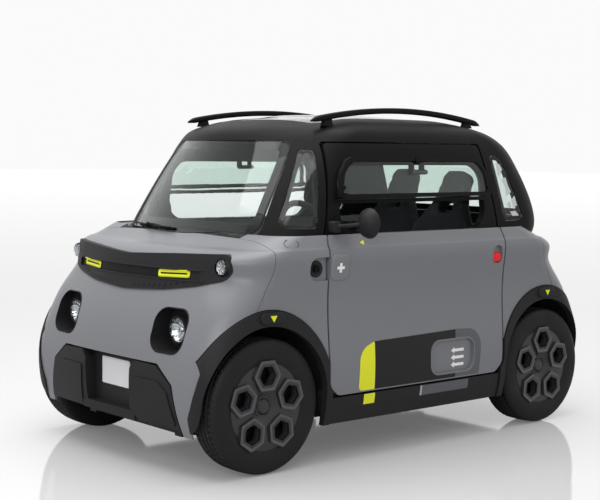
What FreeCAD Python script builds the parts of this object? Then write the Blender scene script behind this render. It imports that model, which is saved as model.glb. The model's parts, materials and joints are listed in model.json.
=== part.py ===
import FreeCAD, Part
import math
import os

# All sizes in millimetres. +X is the left of the car, -Y its front, +Z up,
# with the origin on the floor under the middle of the car.

# Driving dimensions
LENGTH = 2410.0
WIDTH = 1390.0
HEIGHT = 1508.0
WHEELBASE = 1728.0
TRACK = 1190.0
TYRE_RADIUS = 278.5
TYRE_WIDTH = 155.0
SILL_HEIGHT = 165.0
BELT_HEIGHT = 955.0
ROOF_HEIGHT = 1476.0
BODY_WALL = 26.0
DOOR_WALL = 44.0
PILLAR_WALL = 34.0
TRIM_PROUD = 7.0
GLASS = 5.0
GLASS_DEPTH = 2.0
SHUT_GAP = 9.0
SEAM_GAP = 2.5
SEAT_GAP = 0.3
RUNNING_FIT = 0.05

WHEEL_Y = WHEELBASE / 2.0
WHEEL_X = TRACK / 2.0
AXLE_Z = TYRE_RADIUS

# Plan outlines of the lower body: height, half width, half length, corner radius, bow of the ends
BODY_SECTIONS = [
    (SILL_HEIGHT, 668.0, 1172.0, 108.0, 22.0),
    (240.0, 686.0, 1190.0, 110.0, 22.0),
    (370.0, 695.0, 1198.0, 112.0, 23.0),
    (490.0, 690.0, 1190.0, 124.0, 28.0),
    (600.0, 682.0, 1166.0, 148.0, 34.0),
    (690.0, 680.0, 1130.0, 172.0, 40.0),
    (760.0, 684.0, 1088.0, 198.0, 45.0),
    (805.0, 689.0, 1070.0, 210.0, 48.0),
    (850.0, 694.0, 1084.0, 222.0, 50.0),
    (880.0, 694.0, 1066.0, 224.0, 48.0),
    (908.0, 689.0, 985.0, 200.0, 42.0),
    (934.0, 677.0, 895.0, 160.0, 34.0),
    (BELT_HEIGHT, 664.0, 815.0, 120.0, 26.0),
]
SIDE_BOW = 7.0
ARC_PULL = 0.5523
LOFT_DEGREE = 3

CABIN_FOOT = 915.0

# Plan outlines of the greenhouse: height, half width, front reach, rear reach,
# front corner radius, rear corner radius, front bow, rear bow
CABIN_SECTIONS = [
    (CABIN_FOOT, 650.0, 874.0, 932.0, 255.0, 190.0, 66.0, 20.0),
    (1000.0, 648.0, 828.0, 960.0, 255.0, 190.0, 66.0, 20.0),
    (1090.0, 641.0, 773.0, 932.0, 255.0, 190.0, 65.0, 20.0),
    (1190.0, 627.0, 712.0, 882.0, 255.0, 190.0, 64.0, 20.0),
    (1290.0, 608.0, 650.0, 822.0, 255.0, 190.0, 63.0, 20.0),
    (1350.0, 590.0, 614.0, 770.0, 255.0, 190.0, 62.0, 20.0),
    (1388.0, 570.0, 580.0, 712.0, 250.0, 190.0, 58.0, 20.0),
    (1418.0, 536.0, 512.0, 632.0, 240.0, 185.0, 50.0, 20.0),
    (1442.0, 480.0, 422.0, 530.0, 215.0, 175.0, 40.0, 18.0),
    (1460.0, 390.0, 312.0, 405.0, 170.0, 150.0, 28.0, 15.0),
    (1471.0, 270.0, 200.0, 270.0, 110.0, 110.0, 16.0, 10.0),
    (ROOF_HEIGHT, 120.0, 95.0, 115.0, 45.0, 45.0, 6.0, 5.0),
]


def vec(x, y, z):
    return FreeCAD.Vector(x, y, z)


def side_view(x):
    """Map a point of the side view to the plane at x."""
    return lambda y, z: vec(x, y, z)


def front_view(y):
    return lambda x, z: vec(x, y, z)


def plan_view(z):
    return lambda x, y: vec(x, y, z)


def rounded_wire(corners, radius, place):
    """Closed wire through corners (u, v) or (u, v, own radius), each corner rounded."""
    count = len(corners)
    starts = []
    arcs = []
    for i in range(count):
        here = corners[i]
        r = here[2] if len(here) > 2 else radius
        p = FreeCAD.Vector(here[0], here[1], 0)
        a = FreeCAD.Vector(corners[i - 1][0], corners[i - 1][1], 0) - p
        b = FreeCAD.Vector(corners[(i + 1) % count][0], corners[(i + 1) % count][1], 0) - p
        a.normalize()
        b.normalize()
        half = math.acos(max(-1.0, min(1.0, a.dot(b)))) / 2.0
        if r < 0.01 or half > math.radians(83.0):
            starts.append((p, p))
            arcs.append(None)
            continue
        reach = r / math.tan(half)
        middle = (a + b).normalize() * (r / math.sin(half) - r)
        starts.append((p + a * reach, p + b * reach))
        arcs.append(p + middle)
    edges = []
    for i in range(count):
        first, last = starts[i]
        if arcs[i] is not None:
            edges.append(Part.Arc(place(first.x, first.y), place(arcs[i].x, arcs[i].y),
                                  place(last.x, last.y)).toShape())
        nxt = starts[(i + 1) % count][0]
        if (nxt - last).Length > 0.01:
            edges.append(Part.LineSegment(place(last.x, last.y), place(nxt.x, nxt.y)).toShape())
    return Part.Wire(edges)


def side_prism(corners, x0, x1, radius=0.0):
    wire = rounded_wire(corners, radius, side_view(x0))
    return Part.Face(wire).extrude(vec(x1 - x0, 0, 0))


def front_prism(corners, y0, y1, radius=0.0):
    wire = rounded_wire(corners, radius, front_view(y0))
    return Part.Face(wire).extrude(vec(0, y1 - y0, 0))


def plan_prism(corners, z0, z1, radius=0.0):
    wire = rounded_wire(corners, radius, plan_view(z0))
    return Part.Face(wire).extrude(vec(0, 0, z1 - z0))


def box(x0, x1, y0, y1, z0, z1):
    return Part.makeBox(x1 - x0, y1 - y0, z1 - z0, vec(x0, y0, z0))


def rod(start, end, radius):
    axis = end - start
    return Part.makeCylinder(radius, axis.Length, start, axis)


def mirror_x(shape):
    return shape.mirror(vec(0, 0, 0), vec(1, 0, 0))


def mirror_y(shape):
    return shape.mirror(vec(0, 0, 0), vec(0, 1, 0))


def fuse(shapes):
    return shapes[0].fuse(shapes[1:]).removeSplitter() if len(shapes) > 1 else shapes[0]


def pieces(shapes):
    """Solids that share a node without touching."""
    solids = []
    for shape in shapes:
        solids.extend(shape.Solids)
    return Part.makeCompound(solids)


def keep_large(shape, share=0.02):
    """Drop the slivers that a cut leaves behind."""
    solids = shape.Solids
    biggest = max(s.Volume for s in solids)
    return pieces([s for s in solids if s.Volume > share * biggest])


def curve(*poles):
    bezier = Part.BezierCurve()
    bezier.setPoles(list(poles))
    return bezier.toShape()


def bowed(start, middle, end):
    """Cubic through start, middle and end with an even bow, and its pull vectors."""
    crown = middle * 2.0 - (start + end) * 0.5
    pull_start = (crown - start) * (2.0 / 3.0)
    pull_end = (crown - end) * (2.0 / 3.0)
    return curve(start, start + pull_start, end + pull_end, end), pull_start, pull_end


def outline(z, half_width, front, rear, front_corner, rear_corner, front_bow, rear_bow):
    """Plan outline of four bowed sides with tangent corners."""
    x_side = half_width - SIDE_BOW
    y_front = front - front_bow
    y_rear = rear - rear_bow
    y_mid = (y_rear - rear_corner - y_front + front_corner) / 2.0
    runs = [
        (vec(x_side, front_corner - y_front, z), vec(half_width, y_mid, z),
         vec(x_side, y_rear - rear_corner, z)),
        (vec(x_side - rear_corner, y_rear, z), vec(0, rear, z), vec(rear_corner - x_side, y_rear, z)),
        (vec(-x_side, y_rear - rear_corner, z), vec(-half_width, y_mid, z),
         vec(-x_side, front_corner - y_front, z)),
        (vec(front_corner - x_side, -y_front, z), vec(0, -front, z), vec(x_side - front_corner, -y_front, z)),
    ]
    radii = [rear_corner, rear_corner, front_corner, front_corner]
    made = [bowed(*run) for run in runs]
    edges = []
    for i in range(4):
        edge, _, leaving = made[i]
        _, arriving, _ = made[(i + 1) % 4]
        start = runs[i][2]
        end = runs[(i + 1) % 4][0]
        pull = ARC_PULL * radii[i]
        edges.append(edge)
        edges.append(curve(start, start - vec(*leaving).normalize() * pull,
                           end - vec(*arriving).normalize() * pull, end))
    return Part.Wire(edges)


def ramp(value, low, high):
    return max(0.0, min(1.0, (value - low) / (high - low)))


def body_loft(inset, drop, foot=SILL_HEIGHT):
    """Lower body solid, drawn in by inset, its shoulders and deck lowered by drop."""
    wires = []
    for z, width, length, corner, bow in BODY_SECTIONS:
        r = max(corner - inset, 40.0)
        level = foot if z == SILL_HEIGHT else z - drop * ramp(z, 800.0, 905.0)
        wires.append(outline(level, width - inset, length - inset, length - inset, r, r, bow, bow))
    return Part.makeLoft(wires, True, False, False, LOFT_DEGREE)


def cabin_loft(inset, drop, foot=CABIN_FOOT):
    """Greenhouse solid, drawn in by inset, its roof lowered by drop, standing at height foot."""
    wires = []
    for z, width, front, rear, fr, rr, fb, rb in CABIN_SECTIONS:
        level = foot if z == CABIN_FOOT else z - drop * ramp(z, 1290.0, 1430.0)
        wires.append(outline(level, width - inset, front - inset, rear - inset,
                             max(fr - inset, 12.0), max(rr - inset, 12.0), fb, rb))
    return Part.makeLoft(wires, True, False, False, LOFT_DEGREE)


# Door: half widths of its edge at heights, seen from the side
DOOR_BOTTOM = 288.0
DOOR_TOP = 1346.0
DOOR_EDGE = [(495.0, DOOR_BOTTOM, 40.0), (542.0, 330.0, 50.0), (547.0, 925.0), (449.0, DOOR_TOP, 24.0)]
WINDOW_BOTTOM = 962.0
WINDOW_SPLIT = 1108.0
WINDOW_TOP = 1252.0
WINDOW_HALF = 452.0
WINDOW_CORNER = 88.0
WINDOW_BAR = 16.0

# Dished places in the skins: outline corners in the side view, corner radius, depth from WIDTH / 2
STEP_DISH = [(61.0, 318.0), (347.0, 318.0), (347.0, 465.0), (61.0, 465.0)]
STEP_DISH_RADIUS = 52.0
STEP_DISH_X = 678.0
MARKER_DISH = [(466.0, 800.0), (534.0, 800.0), (530.0, 882.0), (470.0, 882.0)]
MARKER_DISH_RADIUS = 26.0
MARKER_DISH_X = 676.0
LOCK_DISH = [(-656.0, 777.0), (-500.0, 777.0), (-500.0, 874.0), (-656.0, 874.0)]
LOCK_DISH_RADIUS = 40.0
LOCK_DISH_X = 669.0

# Roof and window openings
ROOF_SEAM = [(700.0, 1352.0), (-449.0, 1352.0), (-640.0, 1392.0)]
SCREEN = [(478.0, 928.0, 60.0), (412.0, 1354.0, 56.0)]
REAR_SCREEN = [(520.0, 1000.0, 70.0), (442.0, 1330.0, 60.0)]
FRONT_QUARTER = [(-708.0, 988.0, 22.0), (-574.0, 988.0, 26.0), (-486.0, 1318.0, 12.0), (-524.0, 1318.0, 12.0)]
REAR_QUARTER = [(588.0, 990.0, 30.0), (738.0, 992.0, 24.0), (596.0, 1290.0, 26.0), (512.0, 1306.0, 26.0)]
ROOF_PANE = (400.0, -380.0, 430.0, 60.0)
RAIL_BAR_X = 432.0
RAIL_BAR_WIDTH = 34.0
RAIL_BAR = (-455.0, 615.0, 1453.0, 30.0)
FLAP_PROUD = 22.0
FLAP_BOTTOM = 1114.0
FLAP_TOP = 1288.0
FLAP_TUBE = 18.0
FLAP_PANE_LIFT = 6.0
FLAP_HINGES = (-452.0, 441.0)

# Opening of the deck under the greenhouse, half width and ends
DECK_HOLE = [(590.0, -770.0, 150.0), (590.0, 770.0, 150.0)]
DECK_SPLIT = 450.0
COWL_REAR_Y = -775.0
COWL_Z = (920.0, 944.0)

# Wheel arches: half opening, rise of the round above the axle, width of the trim
ARCH_HALF = 300.0
ARCH_RISE = 28.5
TRIM_REACH_Y = 36.0
TRIM_REACH_Z = 68.0
TRIM_INSIDE_X = 556.0
TRIM_CORNER = [(400.0, 50.0), (500.0, 50.0), (530.0, 200.0), (575.0, 291.0), (605.0, 375.0), (623.0, 447.0),
               (596.0, 520.0), (400.0, 520.0)]
LINER_CLEARANCE = 22.0
LINER_WALL = 4.0
LINER_INSIDE_X = 385.0

# Seam between each end of the body and its sides, seen from the side
SEAM = [(935.0, 100.0), (925.0, 668.0), (848.0, 817.0), (834.0, 905.0), (850.0, 980.0)]

# Openings of the ends: bumper, lamp band, lamps
BUMPER_OPENING = [(355.0, 447.0), (455.0, 372.0), (514.0, 120.0)]
BUMPER_BLOCK = [(163.0, 190.0), (172.0, 408.0), (205.0, 442.0), (349.0, 438.0), (448.0, 368.0), (503.0, 190.0)]
BUMPER_PAD = [(205.0, 203.0), (199.0, 375.0), (365.0, 378.0), (428.0, 337.0), (478.0, 203.0)]
BUMPER_PROUD = 9.0
BUMPER_BACK_Y = 1085.0
BUMPER_FOOT = 190.0
BUMPER_LIP = (200.0, 1190.0)
PLATE_WALL = (430.0, 430.0)
BUMPER_LIP_TOP = 226.0
BUMPER_RECESS_Y = 1148.0
BAND_EDGE = [(0.0, 724.0), (270.0, 738.0), (430.0, 760.0), (560.0, 787.0, 50.0), (598.0, 838.0, 40.0),
             (566.0, 895.0, 40.0), (300.0, 886.0), (0.0, 871.0)]
BAND_SECTIONS = [(690.0, 680.0, 1136.0, 232.0, 53.0), (722.0, 682.0, 1122.0, 238.0, 54.0),
                 (800.0, 688.0, 1108.0, 250.0, 56.0), (868.0, 693.0, 1096.0, 250.0, 56.0),
                 (910.0, 693.0, 1086.0, 250.0, 56.0)]
BAND_WALL = 34.0
GROOVE = (455.0, 781.0, 819.0, 8.0)
LAMP_X = 390.0
LAMP_Z = 582.0
LAMP_RECESS = (205.0, 184.0, 62.0)
LAMP_RADIUS = 56.0
LAMP_FLOOR_Y = 1062.0
LAMP_FACE_Y = 1112.0
LAMP_ROUNDING = 14.0
BEZEL_WALL = 4.0
UPPER_LAMP = (546.0, 992.0, 842.0, 34.0)

# Chassis
RAIL_X = 330.0
RAIL_WIDTH = 50.0
RAIL_BOTTOM = 128.0
RAIL_TOP = 188.0
RAIL_END = 1060.0
POST_WIDTH = 15.0
POST_HALF = 40.0
CROSS_Y = 500.0
FLOOR_THICK = 26.0
FIREWALL_Y = 530.0
REAR_FLOOR_Z = 372.0
FLOOR_HALF = 604.0
WALL_THICK = 14.0
FIREWALL_TOP = 860.0
TRAY_HALF = 318.0
LUGGAGE_STEP = (-480.0, -120.0, -370.0, 30.0)
LUGGAGE_RISE = 6.0

# Suspension and wheels
KINGPIN_X = 576.0
UPRIGHT_HALF = 85.0
UPRIGHT = (560.0, 586.0, 28.0)
ARM_THICK = 16.0
ARM_BOSS = 18.0
ARM_ROOT = 75.0
SPRING_HEIGHT = 150.0
DAMPER_X = 445.0
DAMPER_RADIUS = 24.0
TOWER_Z = 600.0
SPINDLE_RADIUS = 18.0
SPINDLE_END_X = 625.0
BULGE_RADIUS = 228.0
BEAD_DEPTH = 31.0
CROWN_DROP = 16.5
SHOULDER = 26.0
RIM_RADIUS = 177.8
RIM_WALL = 9.0
COVER_RADIUS = 194.0
COVER_RECESS = 20.0
COVER_FACE_X = 664.0
COVER_THICK = 11.0
HEX_COUNT = 5
HEX_ORBIT = 128.0
HEX_RADIUS = 72.0
HEX_FRAME = 28.0
HEX_PROUD = 10.0

# Door mirror
MIRROR_CENTRE = (750.0, -427.0, 1012.0)
MIRROR_RADIUS = 64.0
MIRROR_SQUASH = 0.62
MIRROR_BACK = 12.0
MIRROR_FOOT = (630.0, 676.0, -520.0, -476.0, 972.0, 1020.0)
MIRROR_ARM_RADIUS = 7.0

# Cabin fittings
DRIVER_PLACE = (280.0, 340.0)
PASSENGER_PLACE = (-205.0, 465.0)
SEAT_WIDTH = 410.0
SEAT_RECLINE = 22.0
SEAT_FOOT_Z = 470.0
SEAT_THICK = 68.0
SEAT_HEAD = [(191.0, 520.0, 60.0), (98.0, 655.0, 60.0), (72.0, 820.0, 44.0)]
SEAT_NECK = [(48.0, 598.0), (40.0, 660.0)]
BATTERY = (300.0, 40.0, 470.0, 150.0)
DASH_HALF = 590.0
DASH_PROFILE = [(-FIREWALL_Y, 640.0, 10.0), (-430.0, 655.0, 40.0), (-392.0, 770.0, 60.0), (-440.0, 895.0, 40.0),
                (-560.0, 935.0, 80.0), (-770.0, 925.0, 10.0), (-770.0, 870.0, 4.0), (-FIREWALL_Y, 870.0, 4.0)]
COLUMN_TILT = 24.0
WHEEL_CENTRE = (300.0, -330.0, 925.0)
STEERING_RADIUS = 170.0
GRIP_RADIUS = 14.0


def both_sides(points):
    """Points of the +u half, closed by their mirror image."""
    mirrored = [(-p[0],) + tuple(p[1:]) for p in reversed(points) if abs(p[0]) > 0.01]
    return list(points) + mirrored


def door_outline(grow):
    points = []
    for corner in DOOR_EDGE:
        y, z = corner[:2]
        lift = -grow if z == DOOR_BOTTOM else (grow if z == DOOR_TOP else 0.0)
        points.append((y + grow, z + lift) + corner[2:])
    return both_sides(points)


def arch_face(y_centre, half, rise, x0, x1):
    """Prism of a wheel arch: round above the axle, straight below it."""
    z = AXLE_Z + ARCH_RISE
    place = side_view(x0)
    centre = place(y_centre, z)
    top = place(y_centre, z + rise)
    side = place(y_centre + half, z)
    if rise - half > 0.01:
        oval = Part.Ellipse(top, side, centre)
        arc = Part.Arc(oval, -math.pi / 2.0, math.pi / 2.0).toShape()
    else:
        arc = Part.Arc(place(y_centre - half, z), top, side).toShape()
    low = SILL_HEIGHT - 100.0
    left = place(y_centre - half, z)
    legs = [Part.LineSegment(side, place(y_centre + half, low)).toShape(),
            Part.LineSegment(place(y_centre + half, low), place(y_centre - half, low)).toShape(),
            Part.LineSegment(place(y_centre - half, low), left).toShape()]
    wire = Part.Wire(Part.__sortEdges__([arc] + legs))
    return Part.Face(wire).extrude(vec(x1 - x0, 0, 0))


def seam_zone(grow, front):
    """Prism of everything beyond the seam of one end, over the whole width."""
    points = [(LENGTH, 100.0), (LENGTH, 980.0)] + [(y - grow, z) for y, z in reversed(SEAM)]
    if front:
        points = [(-p[0],) + tuple(p[1:]) for p in points]
    return side_prism(points, -WIDTH, WIDTH)


def side_halves(make):
    """The same prism on the left and on the right."""
    left = make()
    return [left, mirror_x(left)]


def door_gap():
    prism = side_prism(door_outline(SHUT_GAP), 300.0, WIDTH)
    return [prism, mirror_x(prism)]


def arches(half, rise, x0=TRIM_INSIDE_X - SEAM_GAP):
    made = []
    for y in (-WHEEL_Y, WHEEL_Y):
        made.extend(side_halves(lambda: arch_face(y, half, rise, x0, WIDTH)))
    return made


def corner_zone(shift):
    """Front of the skin beside a wheel that stays in body colour, on the left."""
    edge = WHEEL_Y + ARCH_HALF - 4.0
    return front_prism([(x - shift, z) for x, z in TRIM_CORNER], -LENGTH, -edge)


def wheel_well():
    """Room behind the skin for the turning wheel, on the front left."""
    reach = TRIM_INSIDE_X + 10.0 - LINER_INSIDE_X
    rounds = [Part.makeCylinder(ARCH_HALF, reach, vec(LINER_INSIDE_X, -WHEEL_Y, AXLE_Z + lift), vec(1, 0, 0))
              for lift in (0.0, ARCH_RISE)]
    return rounds[0].fuse(rounds[1])


def dish(corners, x, radius):
    """Tool for a flat-bottomed dish in the left skin."""
    return side_prism(corners, x, WIDTH, radius)


def body_parts(outer, inner):
    """Skins of the lower body, split at the real seams."""
    made = {}
    hole = plan_prism(both_sides(DECK_HOLE), 860.0, BELT_HEIGHT + 20.0)
    shell = outer.cut(inner).cut(hole)
    holes = [front_prism(both_sides(BAND_EDGE), -WIDTH, -800.0, 30.0),
             front_prism(both_sides(BUMPER_OPENING), -WIDTH, -900.0, 18.0)]
    holes += side_halves(lambda: lamp_prism(0.0, -WIDTH, -900.0))
    wells = side_halves(wheel_well)
    wheels = arches(ARCH_HALF + TRIM_REACH_Y, ARCH_HALF + TRIM_REACH_Z)
    corner = corner_zone(SEAM_GAP)
    front_wheel = wheels[0].cut(corner)
    end = shell.common(seam_zone(0.0, True))
    for tool in holes + [front_wheel, mirror_x(front_wheel)] + wells:
        end = end.cut(tool)
    made["front_fascia"] = keep_large(end)
    made["rear_fascia"] = mirror_y(made["front_fascia"])
    quarter = [(400.0, DOOR_BOTTOM + 60.0), (400.0, 980.0)]
    quarter += [(y - SEAM_GAP, z) for y, z in reversed(SEAM)]
    quarter += [(WHEEL_Y - ARCH_HALF, 100.0), (WHEEL_Y - ARCH_HALF, DOOR_BOTTOM + 60.0)]
    panel = shell.common(side_prism(quarter, DECK_SPLIT, WIDTH))
    panel = keep_large(panel.cut(door_gap()[0]).cut(wheels[2]))
    front = mirror_y(panel).cut(dish(LOCK_DISH, LOCK_DISH_X, LOCK_DISH_RADIUS))
    made["side_panels_left"] = pieces([panel, front])
    made["side_panels_right"] = pieces([mirror_x(mirror_y(panel)), mirror_x(mirror_y(front))])
    return made


def lamp_prism(inset, y0, y1):
    width, height, corner = LAMP_RECESS
    w = width / 2.0 - inset
    h = height / 2.0 - inset
    points = [(LAMP_X - w, LAMP_Z - h), (LAMP_X + w, LAMP_Z - h), (LAMP_X + w, LAMP_Z + h),
              (LAMP_X - w, LAMP_Z + h)]
    return front_prism(points, y0, y1, corner - inset)


def trims(proud, inner):
    """Black arch trims, standing proud of the skins."""
    wide = proud.cut(inner)
    blocks = []
    for y in (-WHEEL_Y, WHEEL_Y):
        ring = arch_face(y, ARCH_HALF + TRIM_REACH_Y - SEAM_GAP, ARCH_HALF + TRIM_REACH_Z - SEAM_GAP,
                         TRIM_INSIDE_X, WIDTH)
        corner = corner_zone(0.0)
        ring = ring.cut(corner if y < 0.0 else mirror_y(corner))
        blocks.append(ring.cut(arch_face(y, ARCH_HALF, ARCH_HALF, LINER_INSIDE_X, WIDTH)))
    left = pieces(blocks).common(wide).cut(door_gap())
    left = keep_large(left, 0.1)
    return pieces([left, mirror_x(left)])


def liners(room):
    """Curved wheel well covers, ending inside the skins."""
    z = AXLE_Z + ARCH_RISE
    radius = ARCH_HALF + LINER_CLEARANCE
    along = vec(1, 0, 0)
    outer = Part.makeCylinder(radius + LINER_WALL, 640.0 - LINER_INSIDE_X, vec(LINER_INSIDE_X, WHEEL_Y, z), along)
    hollow = Part.makeCylinder(radius, WIDTH, vec(0, WHEEL_Y, z), along)
    upper = box(0, WIDTH, WHEEL_Y - 400.0, WHEEL_Y + 400.0, z, z + 400.0)
    shell = outer.cut(hollow).common(upper).common(room)
    shell = keep_large(shell.cut(mirror_y(lamp_prism(-8.0, -LENGTH, -LAMP_FLOOR_Y + 30.0))), 0.3)
    solids = [shell, mirror_x(shell)]
    return pieces(solids + [mirror_y(s) for s in solids])


def sills(outer, thick_inner):
    reach = WHEEL_Y - ARCH_HALF - TRIM_REACH_Y
    zone = box(-WIDTH, WIDTH, -reach, reach, SILL_HEIGHT, DOOR_BOTTOM - SHUT_GAP)
    return keep_large(outer.cut(thick_inner).common(zone), 0.2)


def lamp_band():
    """Black band of the front with its groove and the pockets of the upper lamps."""
    outer = Part.makeLoft([outline(z, w, b, b, r, r, bow, bow) for z, w, b, r, bow in BAND_SECTIONS],
                          True, False, False, LOFT_DEGREE)
    back = Part.makeLoft([outline(z, w - BAND_WALL, b - BAND_WALL, b - BAND_WALL, r - BAND_WALL,
                                  r - BAND_WALL, bow, bow)
                          for z, w, b, r, bow in [(600.0,) + BAND_SECTIONS[0][1:]] + BAND_SECTIONS[1:-1]
                          + [(960.0,) + BAND_SECTIONS[-1][1:]]], True, False, False, LOFT_DEGREE)
    prism = front_prism(both_sides(BAND_EDGE), -LENGTH, -800.0, 30.0)
    band = outer.common(prism).cut(back)
    half, low, high, depth = GROOVE
    shallow = Part.makeLoft([outline(z, w - depth, b - depth, b - depth, r, r, bow, bow)
                             for z, w, b, r, bow in BAND_SECTIONS], True, False, False, LOFT_DEGREE)
    slot = front_prism([(-half, low), (half, low), (half, high), (-half, high)], -LENGTH, -800.0, 12.0)
    band = band.cut(outer.common(slot).cut(shallow))
    x, y, z, r = UPPER_LAMP
    aim = vec(0.34, -1.0, 0.0).normalize()
    pocket = Part.makeCylinder(r + 4.0, 120.0, vec(x, -y, z) + aim * 4.0, aim)
    band = band.cut([pocket, mirror_x(pocket)])
    return keep_large(band, 0.2)


def upper_lamp():
    x, y, z, r = UPPER_LAMP
    aim = vec(0.34, -1.0, 0.0).normalize()
    body = Part.makeCylinder(r, 20.0, vec(x, -y, z) + aim * (4.0 + SEAT_GAP), aim)
    return body.makeFillet(6.0, [body.Edges[0]])


def bezels(outer, floor_y):
    """Cup round one headlamp, as thick as its wall, open to the front."""
    cup = lamp_prism(SEAT_GAP, -LENGTH, -floor_y)
    hollow = lamp_prism(SEAT_GAP + BEZEL_WALL, -LENGTH, -floor_y - BEZEL_WALL)
    return keep_large(cup.cut(hollow).common(outer))


def headlamp(floor_y):
    """Round lamp body standing in its cup."""
    lens = Part.makeCylinder(LAMP_RADIUS, LAMP_FACE_Y - floor_y - BEZEL_WALL,
                             vec(LAMP_X, -floor_y - BEZEL_WALL - SEAT_GAP, LAMP_Z), vec(0, -1, 0))
    return lens.makeFillet(LAMP_ROUNDING, [e for e in lens.Edges if e.BoundBox.YMax < -LAMP_FACE_Y + 1.0])


def bumper():
    """Black bumper: two blocks with raised pads beside the plate recess."""
    skin = body_loft(-3.0, 0.0)
    proud = body_loft(-BUMPER_PROUD, 0.0)
    block = front_prism(BUMPER_BLOCK, -LENGTH, -BUMPER_BACK_Y, 14.0).common(skin)
    pad = front_prism(BUMPER_PAD, -LENGTH, -BUMPER_BACK_Y, 16.0).common(proud)
    half, top = PLATE_WALL
    plate = box(-half, half, -BUMPER_RECESS_Y, -BUMPER_BACK_Y, BUMPER_LIP_TOP, top)
    half, front = BUMPER_LIP
    lip = box(-half, half, -front, -BUMPER_BACK_Y, BUMPER_FOOT, BUMPER_LIP_TOP)
    whole = fuse([block, mirror_x(block), pad, mirror_x(pad), plate, lip])
    opening = front_prism(both_sides([(x - 3.0, z - 3.0) for x, z in BUMPER_OPENING]), -LENGTH, -900.0, 15.0)
    whole = whole.common(opening)
    for well in side_halves(wheel_well):
        whole = whole.cut(well)
    return keep_large(whole, 0.2)


def cabin_parts(outer, inner, body):
    """Pillars, roof and panes of the greenhouse."""
    shell = outer.cut(inner).cut(body)
    thin = cabin_loft(GLASS_DEPTH, GLASS_DEPTH, CABIN_FOOT).cut(
        cabin_loft(GLASS_DEPTH + GLASS, GLASS_DEPTH + GLASS, CABIN_FOOT - 20.0)).cut(body)
    roof_zone = side_prism([(-900.0, ROOF_HEIGHT + 20.0), (900.0, ROOF_HEIGHT + 20.0), (900.0, 1352.0)]
                           + [(p[0], p[1]) for p in ROOF_SEAM] + [(-900.0, 1392.0)], -WIDTH, WIDTH)
    screen = front_prism(both_sides(SCREEN), -WIDTH, -200.0)
    back = front_prism(both_sides(REAR_SCREEN), 200.0, WIDTH)
    quarters = side_halves(lambda: side_prism(FRONT_QUARTER, 200.0, WIDTH))
    quarters += side_halves(lambda: side_prism(REAR_QUARTER, 200.0, WIDTH))
    half, y0, y1, corner = ROOF_PANE
    skylight = plan_prism([(-half, y0), (half, y0), (half, y1), (-half, y1)], 1300.0, 1500.0, corner)
    made = {}
    frame = shell.cut([roof_zone, screen, back] + quarters).cut(door_gap())
    made["greenhouse_frame"] = keep_large(frame, 0.05)
    made["roof_panel"] = keep_large(shell.common(roof_zone).cut([skylight, screen]), 0.05)
    made["roof_glass"] = keep_large(thin.common(skylight))
    made["windscreen"] = keep_large(thin.common(screen))
    made["rear_window"] = keep_large(thin.common(back))
    made["quarter_windows"] = pieces([keep_large(thin.common(q)) for q in quarters])
    return made


def cowl():
    """Strip that closes the deck under the windscreen."""
    half = DECK_SPLIT - SEAM_GAP
    return box(-half, half, SEAM_GAP - SEAM[3][0], COWL_REAR_Y, COWL_Z[0], COWL_Z[1])


def window_points(bottom, top, half, corner):
    return [(-half, bottom, corner), (half, bottom, corner), (half, top, corner), (-half, top, corner)]


def door(body, cabin, door_inner, cabin_inner):
    """Door shell, the window frame on it with its bar, and the fixed upper pane."""
    prism = side_prism(door_outline(0.0), 300.0, WIDTH)
    lower = keep_large(body.cut(door_inner).common(prism), 0.05)
    lower = lower.cut(dish(STEP_DISH, STEP_DISH_X, STEP_DISH_RADIUS))
    lower = lower.cut(dish(MARKER_DISH, MARKER_DISH_X, MARKER_DISH_RADIUS))
    opening = side_prism(window_points(WINDOW_BOTTOM, WINDOW_TOP, WINDOW_HALF, WINDOW_CORNER), 300.0, WIDTH)
    bar_zone = box(0.0, WIDTH, -WINDOW_HALF, WINDOW_HALF, WINDOW_SPLIT - WINDOW_BAR, WINDOW_SPLIT)
    opening = opening.cut(bar_zone)
    upper = cabin.cut(cabin_inner).common(prism).cut(opening)
    upper = upper.cut(box(0.0, WIDTH, -WIDTH, WIDTH, 0.0, BELT_HEIGHT + SEAT_GAP))
    pane_zone = opening.common(box(0.0, WIDTH, -WIDTH, WIDTH, WINDOW_SPLIT, ROOF_HEIGHT))
    pane = cabin_loft(8.0, 0.0).cut(cabin_loft(8.0 + GLASS, 0.0, CABIN_FOOT - 20.0)).common(pane_zone)
    return lower, keep_large(upper, 0.05), keep_large(pane)


def flap_points(inset):
    return [(-474.0 + inset, FLAP_BOTTOM + inset, 8.0), (463.0 - inset, FLAP_BOTTOM + inset, 8.0),
            (446.0 - inset, 1215.0, 60.0), (404.0 - inset, FLAP_TOP - inset, 60.0),
            (-404.0 + inset, FLAP_TOP - inset, 60.0), (-456.0 + inset, 1215.0, 60.0)]


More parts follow.
